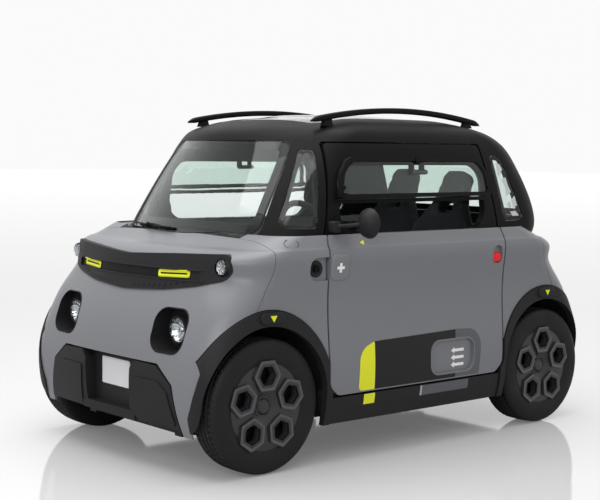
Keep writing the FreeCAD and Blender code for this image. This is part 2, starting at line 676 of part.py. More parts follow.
def flap():
    """Lower pane folded up outside the upper one, in its tube frame."""
    near = cabin_loft(-FLAP_PROUD, 0.0)
    far = cabin_loft(-FLAP_PROUD - FLAP_TUBE, 0.0)
    ring = side_prism(flap_points(0.0), 300.0, WIDTH).cut(side_prism(flap_points(FLAP_TUBE), 200.0, WIDTH))
    frame = ring.common(far.cut(near))
    pane_near = cabin_loft(-FLAP_PROUD - FLAP_PANE_LIFT, 0.0)
    pane_far = cabin_loft(-FLAP_PROUD - FLAP_PANE_LIFT - GLASS, 0.0)
    pane = side_prism(flap_points(FLAP_TUBE), 300.0, WIDTH).common(pane_far.cut(pane_near))
    hinges = []
    for y in FLAP_HINGES:
        hinges.append(box(610.0, 672.0, y - 11.0, y + 11.0, WINDOW_SPLIT + 6.0, WINDOW_SPLIT + 30.0))
    latch = box(600.0, 655.0, -FLAP_TUBE, FLAP_TUBE, FLAP_TOP - 26.0, FLAP_TOP - 2.0)
    brackets = [h.cut(cabin_loft(-SEAT_GAP, 0.0)) for h in hinges + [latch]]
    frame = keep_large(frame.fuse(brackets), 0.05)
    return frame, keep_large(pane.cut(frame))


def mirror_unit():
    """Round door mirror on its arm."""
    centre = vec(*MIRROR_CENTRE)
    dome = Part.makeSphere(MIRROR_RADIUS, centre)
    dome = dome.common(box(600.0, 900.0, -600.0, centre.y + MIRROR_BACK, 900.0, 1100.0))
    squash = FreeCAD.Matrix()
    squash.scale(1.0, MIRROR_SQUASH, 1.0)
    dome = dome.translated(centre * -1.0).transformGeometry(squash).translated(centre)
    x0, x1, y0, y1, z0, z1 = MIRROR_FOOT
    foot = box(x0, x1, y0, y1, z0, z1)
    arm_start = vec(x1 - 8.0, (y0 + y1) / 2.0, z1 - 20.0)
    arm_rod = rod(arm_start, centre - vec(22.0, 13.0, 4.0), MIRROR_ARM_RADIUS)
    return fuse([dome, foot.fuse(arm_rod)]).cut(cabin_loft(-SEAT_GAP, 0.0)).cut(body_loft(-SEAT_GAP, 0.0))


def roof_rails(cabin):
    """Arched rail on two feet, one each side."""
    x = RAIL_BAR_X
    front, rear, top, drop = RAIL_BAR
    middle = (front + rear) / 2.0
    over = Part.Arc(vec(x, front, top), vec(x, middle, HEIGHT), vec(x, rear, top)).toShape()
    under = Part.Arc(vec(x, rear - 34.0, top - 9.0), vec(x, middle, HEIGHT - drop),
                     vec(x, front + 34.0, top - 9.0)).toShape()
    nose = Part.LineSegment(vec(x, rear, top), vec(x, rear - 34.0, top - 9.0)).toShape()
    tail = Part.LineSegment(vec(x, front + 34.0, top - 9.0), vec(x, front, top)).toShape()
    bar = Part.Face(Part.Wire([over, nose, under, tail])).extrude(vec(RAIL_BAR_WIDTH, 0, 0))
    feet = [box(x + 2.0, x + RAIL_BAR_WIDTH - 2.0, y - 26.0, y + 26.0, top - 60.0, top + 18.0)
            for y in (front + 120.0, rear - 110.0)]
    left = bar.fuse(feet).cut(cabin)
    left = keep_large(left, 0.05)
    return pieces([left, mirror_x(left)])


def floor(inner_body):
    """Floor pan with firewall, luggage step and the raised floor over the rear axle."""
    pan = box(-FLOOR_HALF, FLOOR_HALF, -FIREWALL_Y, FIREWALL_Y, RAIL_TOP, RAIL_TOP + FLOOR_THICK)
    wall = box(-FLOOR_HALF, FLOOR_HALF, -FIREWALL_Y - WALL_THICK, -FIREWALL_Y, RAIL_TOP, FIREWALL_TOP)
    rise = box(-FLOOR_HALF, FLOOR_HALF, FIREWALL_Y, FIREWALL_Y + WALL_THICK, RAIL_TOP, REAR_FLOOR_Z + WALL_THICK)
    tray = box(-TRAY_HALF, TRAY_HALF, FIREWALL_Y + WALL_THICK, RAIL_END, REAR_FLOOR_Z, REAR_FLOOR_Z + WALL_THICK)
    x0, x1, y0, y1 = LUGGAGE_STEP
    step = box(x0, x1, y0, y1, RAIL_TOP + FLOOR_THICK, RAIL_TOP + FLOOR_THICK + LUGGAGE_RISE)
    whole = pan.fuse([wall, rise, tray, step]).common(inner_body)
    radius = ARCH_HALF + LINER_CLEARANCE + LINER_WALL + SEAT_GAP
    for y in (-WHEEL_Y, WHEEL_Y):
        room = Part.makeCylinder(radius, WIDTH - LINER_INSIDE_X, vec(LINER_INSIDE_X - SEAT_GAP, y, AXLE_Z + ARCH_RISE),
                                 vec(1, 0, 0))
        whole = whole.cut([room, mirror_x(room)])
    return keep_large(whole, 0.05)


def chassis():
    rails = []
    for x in (-RAIL_X, RAIL_X):
        rails.append(box(x - RAIL_WIDTH / 2.0, x + RAIL_WIDTH / 2.0, -RAIL_END, RAIL_END, RAIL_BOTTOM, RAIL_TOP))
    half = RAIL_WIDTH / 2.0
    for y in (half - RAIL_END, -WHEEL_Y, -CROSS_Y, 0.0, CROSS_Y, WHEEL_Y, RAIL_END - half):
        rails.append(box(-RAIL_X, RAIL_X, y - half, y + half, RAIL_BOTTOM + 10.0, RAIL_TOP - 5.0))
    for y in (-WHEEL_Y, WHEEL_Y):
        for side in (-1.0, 1.0):
            inner = side * (RAIL_X - 5.0)
            post = side * (RAIL_X + POST_WIDTH)
            outer = side * (DAMPER_X + POST_HALF)
            rails.append(box(min(inner, post), max(inner, post), y - POST_HALF, y + POST_HALF,
                             RAIL_TOP - 10.0, TOWER_Z + 10.0))
            rails.append(box(min(inner, outer), max(inner, outer), y - POST_HALF, y + POST_HALF,
                             TOWER_Z, TOWER_Z + 10.0))
    return fuse(rails)


def arm(y, z_low, root, reach, damper_hole):
    """Wishbone plate from the rail at root to the joint at reach, along +X."""
    plate = plan_prism([(root, y - ARM_ROOT), (reach, y - ARM_BOSS), (reach, y + ARM_BOSS), (root, y + ARM_ROOT)],
                       z_low, z_low + ARM_THICK)
    boss = Part.makeCylinder(ARM_BOSS, ARM_THICK, vec(reach, y, z_low))
    plate = plate.fuse(boss)
    if damper_hole:
        plate = plate.cut(Part.makeCylinder(DAMPER_RADIUS + 8.0, 100.0, vec(DAMPER_X, y, z_low - 40.0)))
    return plate


def suspension(y):
    """Two wishbones and a spring unit each side, with pivots on the rail and post."""
    low = AXLE_Z - UPRIGHT_HALF - ARM_THICK - SEAT_GAP
    high = AXLE_Z + UPRIGHT_HALF + SEAT_GAP
    reach = KINGPIN_X
    damper = Part.makeCylinder(DAMPER_RADIUS, TOWER_Z - SEAT_GAP - low - ARM_THICK, vec(DAMPER_X, y, low + ARM_THICK))
    spring = Part.makeCylinder(DAMPER_RADIUS + 6.0, SPRING_HEIGHT, vec(DAMPER_X, y, high + 60.0))
    left = fuse([arm(y, low, RAIL_X + RAIL_WIDTH / 2.0, reach, False), damper.fuse(spring)])
    solids = [left, mirror_x(left)]
    upper = arm(y, high, RAIL_X + POST_WIDTH, reach, True)
    solids += [upper, mirror_x(upper)]
    return pieces(solids)


def hub_carrier(y):
    """Upright and spindle of the left wheel at y."""
    x0, x1, half = UPRIGHT
    plate = box(x0, x1, y - half, y + half, AXLE_Z - UPRIGHT_HALF, AXLE_Z + UPRIGHT_HALF)
    spindle = rod(vec(x0, y, AXLE_Z), vec(SPINDLE_END_X, y, AXLE_Z), SPINDLE_RADIUS)
    return plate.fuse(spindle)


def revolve_x(points, y):
    """Solid of revolution about the axle, from points (x, r) or (x, r, corner radius)."""
    wire = rounded_wire(points, 0.0, lambda u, v: vec(u, y, AXLE_Z + v))
    return Part.Face(wire).revolve(vec(0, y, AXLE_Z), vec(1, 0, 0), 360.0)


def tyre(y):
    """Plain tyre; its bead on the outer side sits inside the cover's edge."""
    inner = WHEEL_X - TYRE_WIDTH / 2.0
    outer = WHEEL_X + TYRE_WIDTH / 2.0
    bore = RIM_RADIUS + SEAT_GAP
    crown = TYRE_RADIUS - CROWN_DROP
    points = [(inner + 10.0, bore), (outer - BEAD_DEPTH, bore), (outer, BULGE_RADIUS), (outer - 6.0, crown),
              (outer - SHOULDER, TYRE_RADIUS), (inner + SHOULDER, TYRE_RADIUS), (inner + 6.0, crown),
              (inner, BULGE_RADIUS)]
    return revolve_x(points, y)


def hexagon(radius, angle, orbit, x0, x1, y):
    points = []
    cy = y + orbit * math.sin(angle)
    cz = AXLE_Z + orbit * math.cos(angle)
    for k in range(6):
        a = angle + math.radians(30.0 + 60.0 * k)
        points.append((cy + radius * math.sin(a), cz + radius * math.cos(a)))
    return side_prism(points, x0, x1, 9.0)


def wheel(y):
    """Rim, hub and cover of the left wheel at y, with five framed openings."""
    inner_x = WHEEL_X - 66.0
    face = COVER_FACE_X
    rim = revolve_x([(inner_x, RIM_RADIUS - RIM_WALL), (face - COVER_THICK, RIM_RADIUS - RIM_WALL),
                     (face - COVER_THICK, RIM_RADIUS), (inner_x, RIM_RADIUS)], y)
    low = face - COVER_RECESS
    cover = revolve_x([(low - COVER_THICK, 0.0), (low, 0.0), (low, 42.0), (face, 78.0), (face + 1.0, 150.0),
                       (face - 2.0, COVER_RADIUS, 4.0), (face - COVER_THICK, COVER_RADIUS),
                       (face - COVER_THICK, 84.0), (low - COVER_THICK, 48.0)], y)
    hub_disc = revolve_x([(600.0, 0.0), (612.0, 0.0), (612.0, RIM_RADIUS - RIM_WALL + 1.0),
                          (600.0, RIM_RADIUS - RIM_WALL + 1.0)], y)
    boss = revolve_x([(592.0, 0.0), (low - COVER_THICK + 1.0, 0.0), (low - COVER_THICK + 1.0, 42.0),
                      (592.0, 42.0)], y)
    cap = revolve_x([(low - 2.0, 0.0), (low + 9.0, 0.0), (low + 9.0, 26.0, 3.0), (low - 2.0, 32.0)], y)
    frames = []
    holes = []
    for k in range(HEX_COUNT):
        angle = 2.0 * math.pi * k / HEX_COUNT
        frames.append(hexagon(HEX_RADIUS, angle, HEX_ORBIT, face - COVER_THICK, face + HEX_PROUD, y))
        holes.append(hexagon(HEX_RADIUS - HEX_FRAME, angle, HEX_ORBIT, face - COVER_THICK - 5.0, face + 60.0, y))
    bore = Part.makeCylinder(SPINDLE_RADIUS + RUNNING_FIT, SPINDLE_END_X + 2.0 - 580.0, vec(580.0, y, AXLE_Z),
                             vec(1, 0, 0))
    whole = rim.fuse([cover, hub_disc, boss, cap] + frames).cut(holes + [bore])
    return keep_large(whole, 0.2)


def seat(x, y):
    """Slim seat with an integral headrest, as one closed form."""
    half = SEAT_WIDTH / 2.0
    points = [(half - 10.0, 0.0), (half, 260.0, 80.0)] + SEAT_HEAD
    back = front_prism([(x + u[0],) + tuple(u[1:]) for u in both_sides(points)], 0.0, SEAT_THICK, 30.0)
    neck = front_prism([(x + u[0],) + tuple(u[1:]) for u in both_sides(SEAT_NECK)], -LENGTH, LENGTH, 14.0)
    back = back.cut(neck)
    back.rotate(vec(x, 0, 0), vec(1, 0, 0), -SEAT_RECLINE)
    back.translate(vec(0, y, SEAT_FOOT_Z))
    cushion = side_prism([(y - 400.0, 400.0, 20.0), (y + 60.0, 352.0, 20.0), (y + 70.0, 500.0, 20.0),
                          (y - 20.0, 478.0, 60.0), (y - 400.0, 505.0, 50.0)], x - half, x + half)
    return back.fuse(cushion)


def dashboard(cabin_inner):
    """Dashboard slab across the cabin."""
    slab = side_prism(DASH_PROFILE, -DASH_HALF, DASH_HALF)
    return keep_large(slab.common(cabin_inner), 0.2)


def steering_axis():
    tilt = math.radians(COLUMN_TILT)
    return vec(0.0, math.cos(tilt), math.sin(tilt))


def steering_column(dash):
    centre = vec(*WHEEL_CENTRE)
    axis = steering_axis()
    tube = rod(centre - axis * 190.0, centre - axis * 30.0, 30.0)
    return keep_large(tube.cut(dash))


def steering_wheel():
    centre = vec(*WHEEL_CENTRE)
    axis = steering_axis()
    rim = Part.makeTorus(STEERING_RADIUS, GRIP_RADIUS, centre, axis)
    across = vec(1, 0, 0)
    down = axis.cross(across)
    hub = rod(centre - axis * 29.7, centre + axis * 8.0, 46.0)
    spokes = [rod(centre + across * side * 40.0, centre + across * side * STEERING_RADIUS, 9.0)
              for side in (-1.0, 1.0)]
    spokes.append(rod(centre, centre + down * STEERING_RADIUS, 9.0))
    return rim.fuse([hub] + spokes)


def make_nodes():
    body = body_loft(0.0, 0.0)
    body_inner = body_loft(BODY_WALL, BODY_WALL, SILL_HEIGHT - 60.0)
    door_inner = body_loft(DOOR_WALL, 0.0, SILL_HEIGHT - 60.0)
    cabin = cabin_loft(0.0, 0.0)
    cabin_inner = cabin_loft(PILLAR_WALL, PILLAR_WALL, CABIN_FOOT - 50.0)
    nodes = {}
    nodes.update(body_parts(body, body_inner))
    nodes.update(cabin_parts(cabin, cabin_inner, body))
    nodes["wheel_arch_trims"] = trims(body_loft(-TRIM_PROUD, 0.0), body_inner)
    nodes["wheel_liners"] = liners(body_loft(BODY_WALL + 1.0, BODY_WALL + 1.0, SILL_HEIGHT - 60.0))
    nodes["side_sills"] = sills(body, body_loft(60.0, 0.0, SILL_HEIGHT - 60.0))
    band = lamp_band()
    nodes["front_band"] = band
    nodes["rear_band"] = mirror_y(band)
    bar = bumper()
    nodes["front_bumper"] = bar
    nodes["rear_bumper"] = mirror_y(bar)
    cup = bezels(body, LAMP_FLOOR_Y)
    cups = [cup, mirror_x(cup)]
    nodes["lamp_bezels"] = pieces(cups + [mirror_y(c) for c in cups])
    lens = headlamp(LAMP_FLOOR_Y)
    small = upper_lamp()
    front_lamps = [lens, mirror_x(lens), small, mirror_x(small)]
    nodes["front_lamps"] = pieces(front_lamps)
    nodes["rear_lamps"] = pieces([mirror_y(lamp) for lamp in front_lamps])
    shell, window_frame, pane = door(body, cabin, door_inner, cabin_inner)
    frame, glass = flap()
    mirror = mirror_unit()
    nodes["door_left"] = shell
    nodes["door_right"] = mirror_x(mirror_y(shell))
    for side, turn in (("left", lambda s: s), ("right", mirror_x)):
        nodes["door_" + side + "_frame"] = turn(window_frame)
        nodes["door_" + side + "_pane"] = turn(pane)
        nodes["door_" + side + "_flap_frame"] = turn(frame)
        nodes["door_" + side + "_flap_pane"] = turn(glass)
        nodes["door_" + side + "_mirror"] = turn(mirror)
    nodes["roof_rails"] = roof_rails(cabin)
    nodes["cowl"] = cowl()
    nodes["floor_pan"] = floor(body_loft(BODY_WALL + 2.0, BODY_WALL + 2.0, SILL_HEIGHT - 60.0))
    nodes["chassis_frame"] = chassis()
    nodes["front_suspension"] = suspension(-WHEEL_Y)
    carrier = hub_carrier(WHEEL_Y)
    nodes["rear_suspension"] = suspension(WHEEL_Y)
    nodes["rear_hubs"] = pieces([carrier, mirror_x(carrier)])
    knuckle = hub_carrier(-WHEEL_Y)
    nodes["knuckle_left"] = knuckle
    nodes["knuckle_right"] = mirror_x(knuckle)
    for end, y in (("front", -WHEEL_Y), ("rear", WHEEL_Y)):
        left_tyre = tyre(y)
        left_wheel = wheel(y)
        nodes["tyre_" + end + "_left"] = left_tyre
        nodes["tyre_" + end + "_right"] = mirror_x(left_tyre)
        nodes["wheel_" + end + "_left"] = left_wheel
        nodes["wheel_" + end + "_right"] = mirror_x(left_wheel)
    nodes["driver_seat"] = seat(*DRIVER_PLACE)
    nodes["passenger_seat"] = seat(*PASSENGER_PLACE)
    half, y0, y1, height = BATTERY
    nodes["battery_pack"] = box(-half, half, y0, y1, RAIL_TOP + FLOOR_THICK + SEAT_GAP,
                                RAIL_TOP + FLOOR_THICK + SEAT_GAP + height - 20.0)
    nodes["drive_motor"] = box(-170.0, 170.0, -WHEEL_Y + 30.0, -WHEEL_Y + 240.0, RAIL_TOP + SEAT_GAP, 450.0)
    dash = dashboard(cabin_loft(PILLAR_WALL + 4.0, PILLAR_WALL + 4.0, CABIN_FOOT - 300.0))
    nodes["dashboard"] = dash
    nodes["steering_column"] = steering_column(dash)
    nodes["steering_wheel"] = steering_wheel()
    return nodes


def build():
    os.makedirs("parts", exist_ok=True)
    for name, shape in make_nodes().items():
        shape.exportStep("parts/" + name + ".step")


build()
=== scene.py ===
import bpy
import bmesh
import json
import math
from mathutils import Matrix, Vector
from mathutils.bvhtree import BVHTree


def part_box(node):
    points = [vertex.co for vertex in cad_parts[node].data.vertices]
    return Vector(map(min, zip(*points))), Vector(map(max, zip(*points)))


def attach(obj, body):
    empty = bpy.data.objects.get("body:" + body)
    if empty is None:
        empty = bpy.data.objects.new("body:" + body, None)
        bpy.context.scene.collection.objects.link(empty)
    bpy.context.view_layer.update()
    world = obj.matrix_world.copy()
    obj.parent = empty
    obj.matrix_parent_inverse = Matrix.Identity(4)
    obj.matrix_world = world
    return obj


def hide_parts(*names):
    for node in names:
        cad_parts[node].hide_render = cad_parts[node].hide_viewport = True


# Everything is in metres in the model's frame: +X left of the car, -Y its front, +Z up.
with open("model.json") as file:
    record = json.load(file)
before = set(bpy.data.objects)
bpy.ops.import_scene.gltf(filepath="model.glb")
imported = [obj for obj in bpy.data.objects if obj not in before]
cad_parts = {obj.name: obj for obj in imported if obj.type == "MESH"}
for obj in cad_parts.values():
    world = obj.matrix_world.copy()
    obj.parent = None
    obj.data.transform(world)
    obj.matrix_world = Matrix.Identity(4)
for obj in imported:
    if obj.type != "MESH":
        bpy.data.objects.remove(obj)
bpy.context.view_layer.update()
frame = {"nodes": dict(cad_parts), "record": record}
nodes = frame["nodes"]
scene = bpy.context.scene
scene.view_settings.view_transform = "Standard"

# Sides and ends of the car, with the sign of their coordinate
SIDES = (("left", 1), ("right", -1))
ENDS = (("front", -1), ("rear", 1))

# Camera, from the photograph's viewing angle
PHOTO_WIDTH = 600
FOCAL_PIXELS = 1325.8
SENSOR_WIDTH = 36.0
NEAR_CLIP = 0.1
CAMERA_PLACE = (4.757, -4.211, 1.323)
CAMERA_AZIMUTH = 49.33
CAMERA_ELEVATION = 4.40
CAMERA_ROLL = 0.65

# Studio: strengths of the surround as the camera sees it and as it lights the car from low and
# high directions, then the lights (name, place, target, size, power) and the floor
BACKGROUND = 0.96
SKY_SPAN = (-0.1, 0.9)
SKY_STRENGTH = (0.42, 0.85)
LIGHTS = (
    ("overhead", (0.0, -0.8, 4.2), (0, 0, 0), (3.0, 4.5), 125),
    ("front_side", (3.4, -5.2, 3.2), (0, 0, 0.6), (3.5, 2.0), 90),
)
FLOOR_SIZE = 60
FLOOR_DROP = 0.0005
FLOOR_TONE = 0.62
FLOOR_GLOW = 0.12
FLOOR_ROUGHNESS = 0.07

# Colours, as sRGB hex
BODY = "74757A"
BLACK = "0E0E0F"
TRIM = "1E1E20"
YELLOW = "E6E92F"
RED = "EE2A2C"
WHITE = "F2F2F2"

# Materials: part of the noise that is used, how far roughness drifts, noise scales, and depths
# of the bumps
NOISE_SPAN = (0.3, 0.7)
ROUGH_DRIFT = 0.08
GLASS_HAZE = 0.015
TONE_SCALE = 3.0
METAL_SCALE = 220.0
GLASS_SCALE = 6.0
DUST_SCALE = 9.0
RUBBER_SCALE = 500.0
PLASTIC_DEPTH = 0.0004
METAL_DEPTH = 0.0003
RUBBER_DEPTH = 0.0005
RUBBER_BUMP = 0.15
COAT_ROUGHNESS = 0.12
GLASS_SHINE = 0.3

# Meshes: angles above which an edge stays sharp, starts of the rays that find a skin, the usual
# lift, edge depth and grid of a sheet, and detail of corners, rings and tubes
SHARP_ANGLE = math.radians(32)
SHEET_SHARP_ANGLE = math.radians(40)
STRAIGHT_ANGLE = math.radians(86)
SIDE_START = 1.2
END_START = 1.6
TOP_START = 1.8
SHEET_LIFT = 0.0012
SHEET_SKIRT = 0.003
SHEET_GRID = 0.02
LEAST_CORNER = 0.004
RING_FOOT = 0.002
TUBE_STEPS = 12
TUBE_BEVEL = 4

# Tyres: grooves across the tread, and cuts as (from, to, slant, share of a pitch, depth)
RIM_RADIUS = 0.1781
TREAD_PITCHES = 66
TYRE_STEPS = 264
GROOVES = (-0.036, -0.012, 0.012, 0.036)
GROOVE_HALF = 0.0038
GROOVE_DEPTH = 0.0065
SHOULDER_CUT = (0.040, 0.068, 9.0, 0.22, 0.0055)
INNER_CUT = (0.014, 0.034, -14.0, 0.12, 0.004)
CROWN_HALF = 0.058
CROWN_STEP = 0.0029
CROWN_POINTS = 41
CROWN_ARCH = 0.0022
# Sidewall from bead to shoulder: inset, and height above the bead or (below zero) the tread
SIDEWALL = ((0.010, 0.0), (0.004, 0.012), (0.0005, 0.030), (0.0, -0.052), (0.001, -0.046),
            (0.001, -0.034), (0.003, -0.022), (0.007, -0.012), (0.014, -0.005))
RIDGE_BAND = (0.047, 0.033)
RIDGE_HEIGHT = 0.0006
RIDGE_FROM_X = 0.06

# Wheels: five bevelled hexagonal frames (radius, out) and the centre cap (radius, along)
HUB_FACE = 0.664
HEX_COUNT = 5
HEX_ORBIT = 0.128
HEX_CORNER = 0.22
HEX_FRAME = ((0.0728, -0.004), (0.0726, 0.0040), (0.0700, 0.0106), (0.0680, 0.0118),
             (0.0600, 0.0118), (0.0580, 0.0110), (0.0460, 0.0020), (0.0436, -0.004),
             (0.0424, -0.014), (0.0415, -0.030))
CAP_DEPTH = 0.020
CAP = ((0.0001, 0.0095), (0.020, 0.0088), (0.029, 0.0065), (0.034, 0.002), (0.036, -0.004))

# Lamps: places, then turned profiles (radius, along)
LAMP_X, LAMP_Y, LAMP_Z = 0.390, 1.070, 0.582
LAMP_FLUTES, LAMP_FLUTE_DEPTH = 10, 0.0018
LAMP_BOWL = ((0.010, 0.004), (0.020, 0.006), (0.034, 0.014), (0.046, 0.028), (0.052, 0.038))
LAMP_BULB = ((0.0001, 0.026), (0.008, 0.025), (0.012, 0.020), (0.012, 0.004))
LAMP_RING = ((0.050, 0.034), (0.0515, 0.041), (0.055, 0.042), (0.0575, 0.036), (0.0575, 0.0))
LAMP_LENS = ((0.0001, 0.0465), (0.02, 0.0455), (0.036, 0.043), (0.046, 0.0395),
             (0.0505, 0.036), (0.0505, 0.033), (0.046, 0.0365), (0.036, 0.040),
             (0.02, 0.0425), (0.0001, 0.0435))
BEZEL_HALF = (0.103, 0.092)
BEZEL_BEAD = 0.007
MARKER_X, MARKER_Y, MARKER_Z = 0.548, 0.992, 0.842
MARKER_FLUTES, MARKER_FLUTE_DEPTH = 8, 0.0015
MARKER_BOWL = ((0.001, 0.010), (0.016, 0.011), (0.027, 0.0145), (0.030, 0.017))
MARKER_LENS = ((0.0001, 0.026), (0.014, 0.025), (0.026, 0.021), (0.0325, 0.013),
               (0.0325, -0.004))

# Lamp band: width of the loops, heights and radius of the ledges, and slots of the grille,
# drawn as sheets of painted shade, from end to end, clear of the middle
LOOP_WIDTH = 0.0125
LEDGE_LEVELS = (0.779, 0.824)
LEDGE_RADIUS = 0.0032
SLOT_COUNT = 24
SLOT_START = -0.368
SLOT_PITCH = 0.032
SLOT_CLEAR = 0.05
SLOT_LEAN = 0.008
SLOT_HEIGHT = 0.015

# Door: heights of the arrows, and pads as (inset, lift)
ARROW_LEVELS = (0.413, 0.380, 0.347)
HANDLE_PROFILE = ((0, -0.001), (0.0, 0.003), (0.004, 0.006), (0.012, 0.007), (0.03, 0.007))
DOOR_MARKER_PROFILE = ((0, -0.001), (0.001, 0.005), (0.004, 0.009), (0.012, 0.0105),
                       (0.02, 0.011))

# Window outlines, seen from the front (x, z, radius) and from the side (y, z, radius)
SCREEN = [(0.466, 0.957, 0.045), (0.412, 1.354, 0.056)]
REAR_SCREEN = [(0.520, 1.000, 0.070), (0.442, 1.330, 0.060)]
FRONT_QUARTER = [(-0.708, 0.988, 0.022), (-0.574, 0.988, 0.026), (-0.486, 1.318, 0.012),
                 (-0.524, 1.318, 0.012)]
REAR_QUARTER = [(0.588, 0.990, 0.030), (0.738, 0.992, 0.024), (0.596, 1.290, 0.026),
                (0.512, 1.306, 0.026)]
SHARDS = [
    [(0.560, 1.262), (0.588, 1.258), (0.604, 1.232), (0.586, 1.214), (0.572, 1.196),
     (0.568, 1.232)],
    [(0.592, 1.186), (0.622, 1.196), (0.634, 1.156), (0.652, 1.126), (0.618, 1.108),
     (0.612, 1.148)],
    [(0.652, 1.090), (0.676, 1.108), (0.690, 1.062), (0.662, 1.052)],
    [(0.622, 1.072), (0.640, 1.084), (0.644, 1.056), (0.630, 1.048)],
    [(0.636, 1.034), (0.676, 1.036), (0.704, 1.014), (0.656, 1.012)],
]
SCREEN_CORNER = 0.05
QUARTER_CORNER = 0.02

# Wiper: pivot on the cowl, bar radii, section of the lip (lift, drop), and turned profiles
WIPER_PIVOT = (-0.055, -0.812, 0.004)
SPINE_RADIUS = 0.0042
ARM_RADIUS = 0.0068
LIP_SECTION = ((0.0125, -0.002), (0.0125, 0.002), (0.0012, 0.0012), (0.0012, -0.0012))
PIVOT_CAP = ((0.0001, 0.016), (0.010, 0.0155), (0.014, 0.012), (0.0155, 0.004), (0.0155, -0.02))
WIPER_JOINT = ((0.0001, 0.009), (0.006, 0.0085), (0.0085, 0.005), (0.0085, -0.006))

# Number plate: half its width, then its heights
PLATE_HALF = 0.106
PLATE_LOW, PLATE_HIGH = 0.304, 0.420
PLATE_EDGE = 0.003

# Door mirror: middle of its dome, radius of the arm, turned profiles, and foot as (out, inset)
MIRROR_X, MIRROR_Z = 0.750, 1.012
MIRROR_ARM_RADIUS = 0.0085
MIRROR_DOME = ((0.0001, 0.0480), (0.0150, 0.0468), (0.0300, 0.0425), (0.0420, 0.0350),
               (0.0520, 0.0250), (0.0590, 0.0140), (0.0630, 0.0040), (0.0645, -0.0010),
               (0.0625, -0.0035), (0.0585, -0.0020), (0.0575, 0.0020), (0.0570, 0.0060))
MIRROR_GLASS = ((0.0001, -0.0005), (0.03, -0.0002), (0.0572, 0.0012), (0.0575, 0.0040))
MIRROR_FOOT = ((0.630, 0.0), (0.668, 0.0), (0.674, 0.0025), (0.676, 0.007))

# Flap window: height of its hinges, and turned profiles
FLAP_Z = 1.126
FLAP_HINGE = ((0.0001, -0.001), (0.008, 0.0), (0.010, 0.003), (0.010, 0.029), (0.008, 0.032),
              (0.0001, 0.033))
FLAP_BOLT = ((0.0001, 0.0065), (0.004, 0.006), (0.0078, 0.0035), (0.0088, 0.0))
LATCH_LEVER = ((0.0001, 0.0), (0.009, 0.001), (0.0115, 0.005), (0.0115, 0.088), (0.009, 0.094),
               (0.0001, 0.095))

# Body sides: lock, heights of the marks on the sill, and pads on the wheel arches
LOCK_PLACE = (0.669, -0.612, 0.826)
LOCK_CUP = ((0.0160, 0.001), (0.0240, 0.002), (0.0300, 0.0055), (0.0325, 0.0065),
            (0.0345, 0.004), (0.0350, -0.002))
LOCK = ((0.0001, 0.0085), (0.003, 0.0085), (0.0032, 0.006), (0.0105, 0.0065), (0.0115, 0.010),
        (0.0145, 0.0098), (0.0155, 0.007), (0.0155, -0.002))
SILL_LOW, SILL_HIGH = 0.232, 0.2765
ARCH_PADS = (("front", -0.851), ("rear", 0.868))
ARCH_PAD_PROFILE = ((0, -0.001), (0.0, 0.0055), (0.002, 0.0085), (0.006, 0.0095), (0.02, 0.010))

# Roof rails: width and depth of the bar, how far its ends drop, and its feet
RAIL_WIDTH = 0.034
RAIL_DEPTH = 0.026
RAIL_BOW = 0.052
RAIL_STEPS = 64
RAIL_TIP = 0.045
RAIL_TIP_SIZE = 0.28
RAIL_TIP_DROP = 0.004
RAIL_FEET = (("front", 0.085), ("rear", 0.915))
FOOT_HALF = (0.014, 0.034)

# Steering wheel: tilt of its axis, and the padded boss
STEERING_TILT = math.radians(24)
STEERING_BOSS = ((0.0001, 0.030), (0.022, 0.029), (0.040, 0.024), (0.050, 0.014), (0.052, 0.0))

# Seats: grid of the remeshed solid, then how the cover swells
SEAT_VOXEL = 0.0085
SWELL_FRAMES = 12
SWELL_CAP = 0.009
SWELL_PRESSURE = 4.0
SWELL_STIFFNESS = 25
SWELL_QUALITY = 4


def srgb(code):
    """Linear colour of an sRGB hex code."""
    values = [int(code[i:i + 2], 16) / 255 for i in (0, 2, 4)]
    return [v / 12.92 if v <= 0.04045 else ((v + 0.055) / 1.055) ** 2.4 for v in values] + [1.0]


def new_material(name):
    material = bpy.data.materials.new(name)
    material.use_nodes = True
    tree = material.node_tree
    return material, tree, tree.nodes["Principled BSDF"]


def object_noise(tree, scale, detail=3.0):
    """Noise in the piece's own coordinates."""
    where = tree.nodes.new("ShaderNodeTexCoord")
    noise = tree.nodes.new("ShaderNodeTexNoise")
    noise.inputs["Scale"].default_value = scale
    noise.inputs["Detail"].default_value = detail
    tree.links.new(where.outputs["Object"], noise.inputs["Vector"])
    return noise.outputs["Fac"]


def add_bump(tree, shader, height, strength, distance):
    bump = tree.nodes.new("ShaderNodeBump")
    bump.inputs["Strength"].default_value = strength
    bump.inputs["Distance"].default_value = distance
    tree.links.new(height, bump.inputs["Height"])
    tree.links.new(bump.outputs["Normal"], shader.inputs["Normal"])


def mapped(tree, value, span, result):
    """Map a value's span (low, high) to a result (low, high)."""
    node = tree.nodes.new("ShaderNodeMapRange")
    for key, number in zip(("From Min", "From Max", "To Min", "To Max"), (*span, *result)):
        node.inputs[key].default_value = number
    tree.links.new(value, node.inputs["Value"])
    return node.outputs["Result"]


def tint(tree, shader, value, dark, light):
    """Mix two colours by a noise value as the base colour."""
    mix = tree.nodes.new("ShaderNodeMix")
    mix.data_type = "RGBA"
    mix.inputs["A"].default_value = dark
    mix.inputs["B"].default_value = light
    tree.links.new(value, mix.inputs["Factor"])
    tree.links.new(mix.outputs["Result"], shader.inputs["Base Color"])


def roughen(tree, shader, value, low, high):
    """Let the roughness drift from low to high with a noise value."""
    tree.links.new(mapped(tree, value, NOISE_SPAN, (low, high)), shader.inputs["Roughness"])


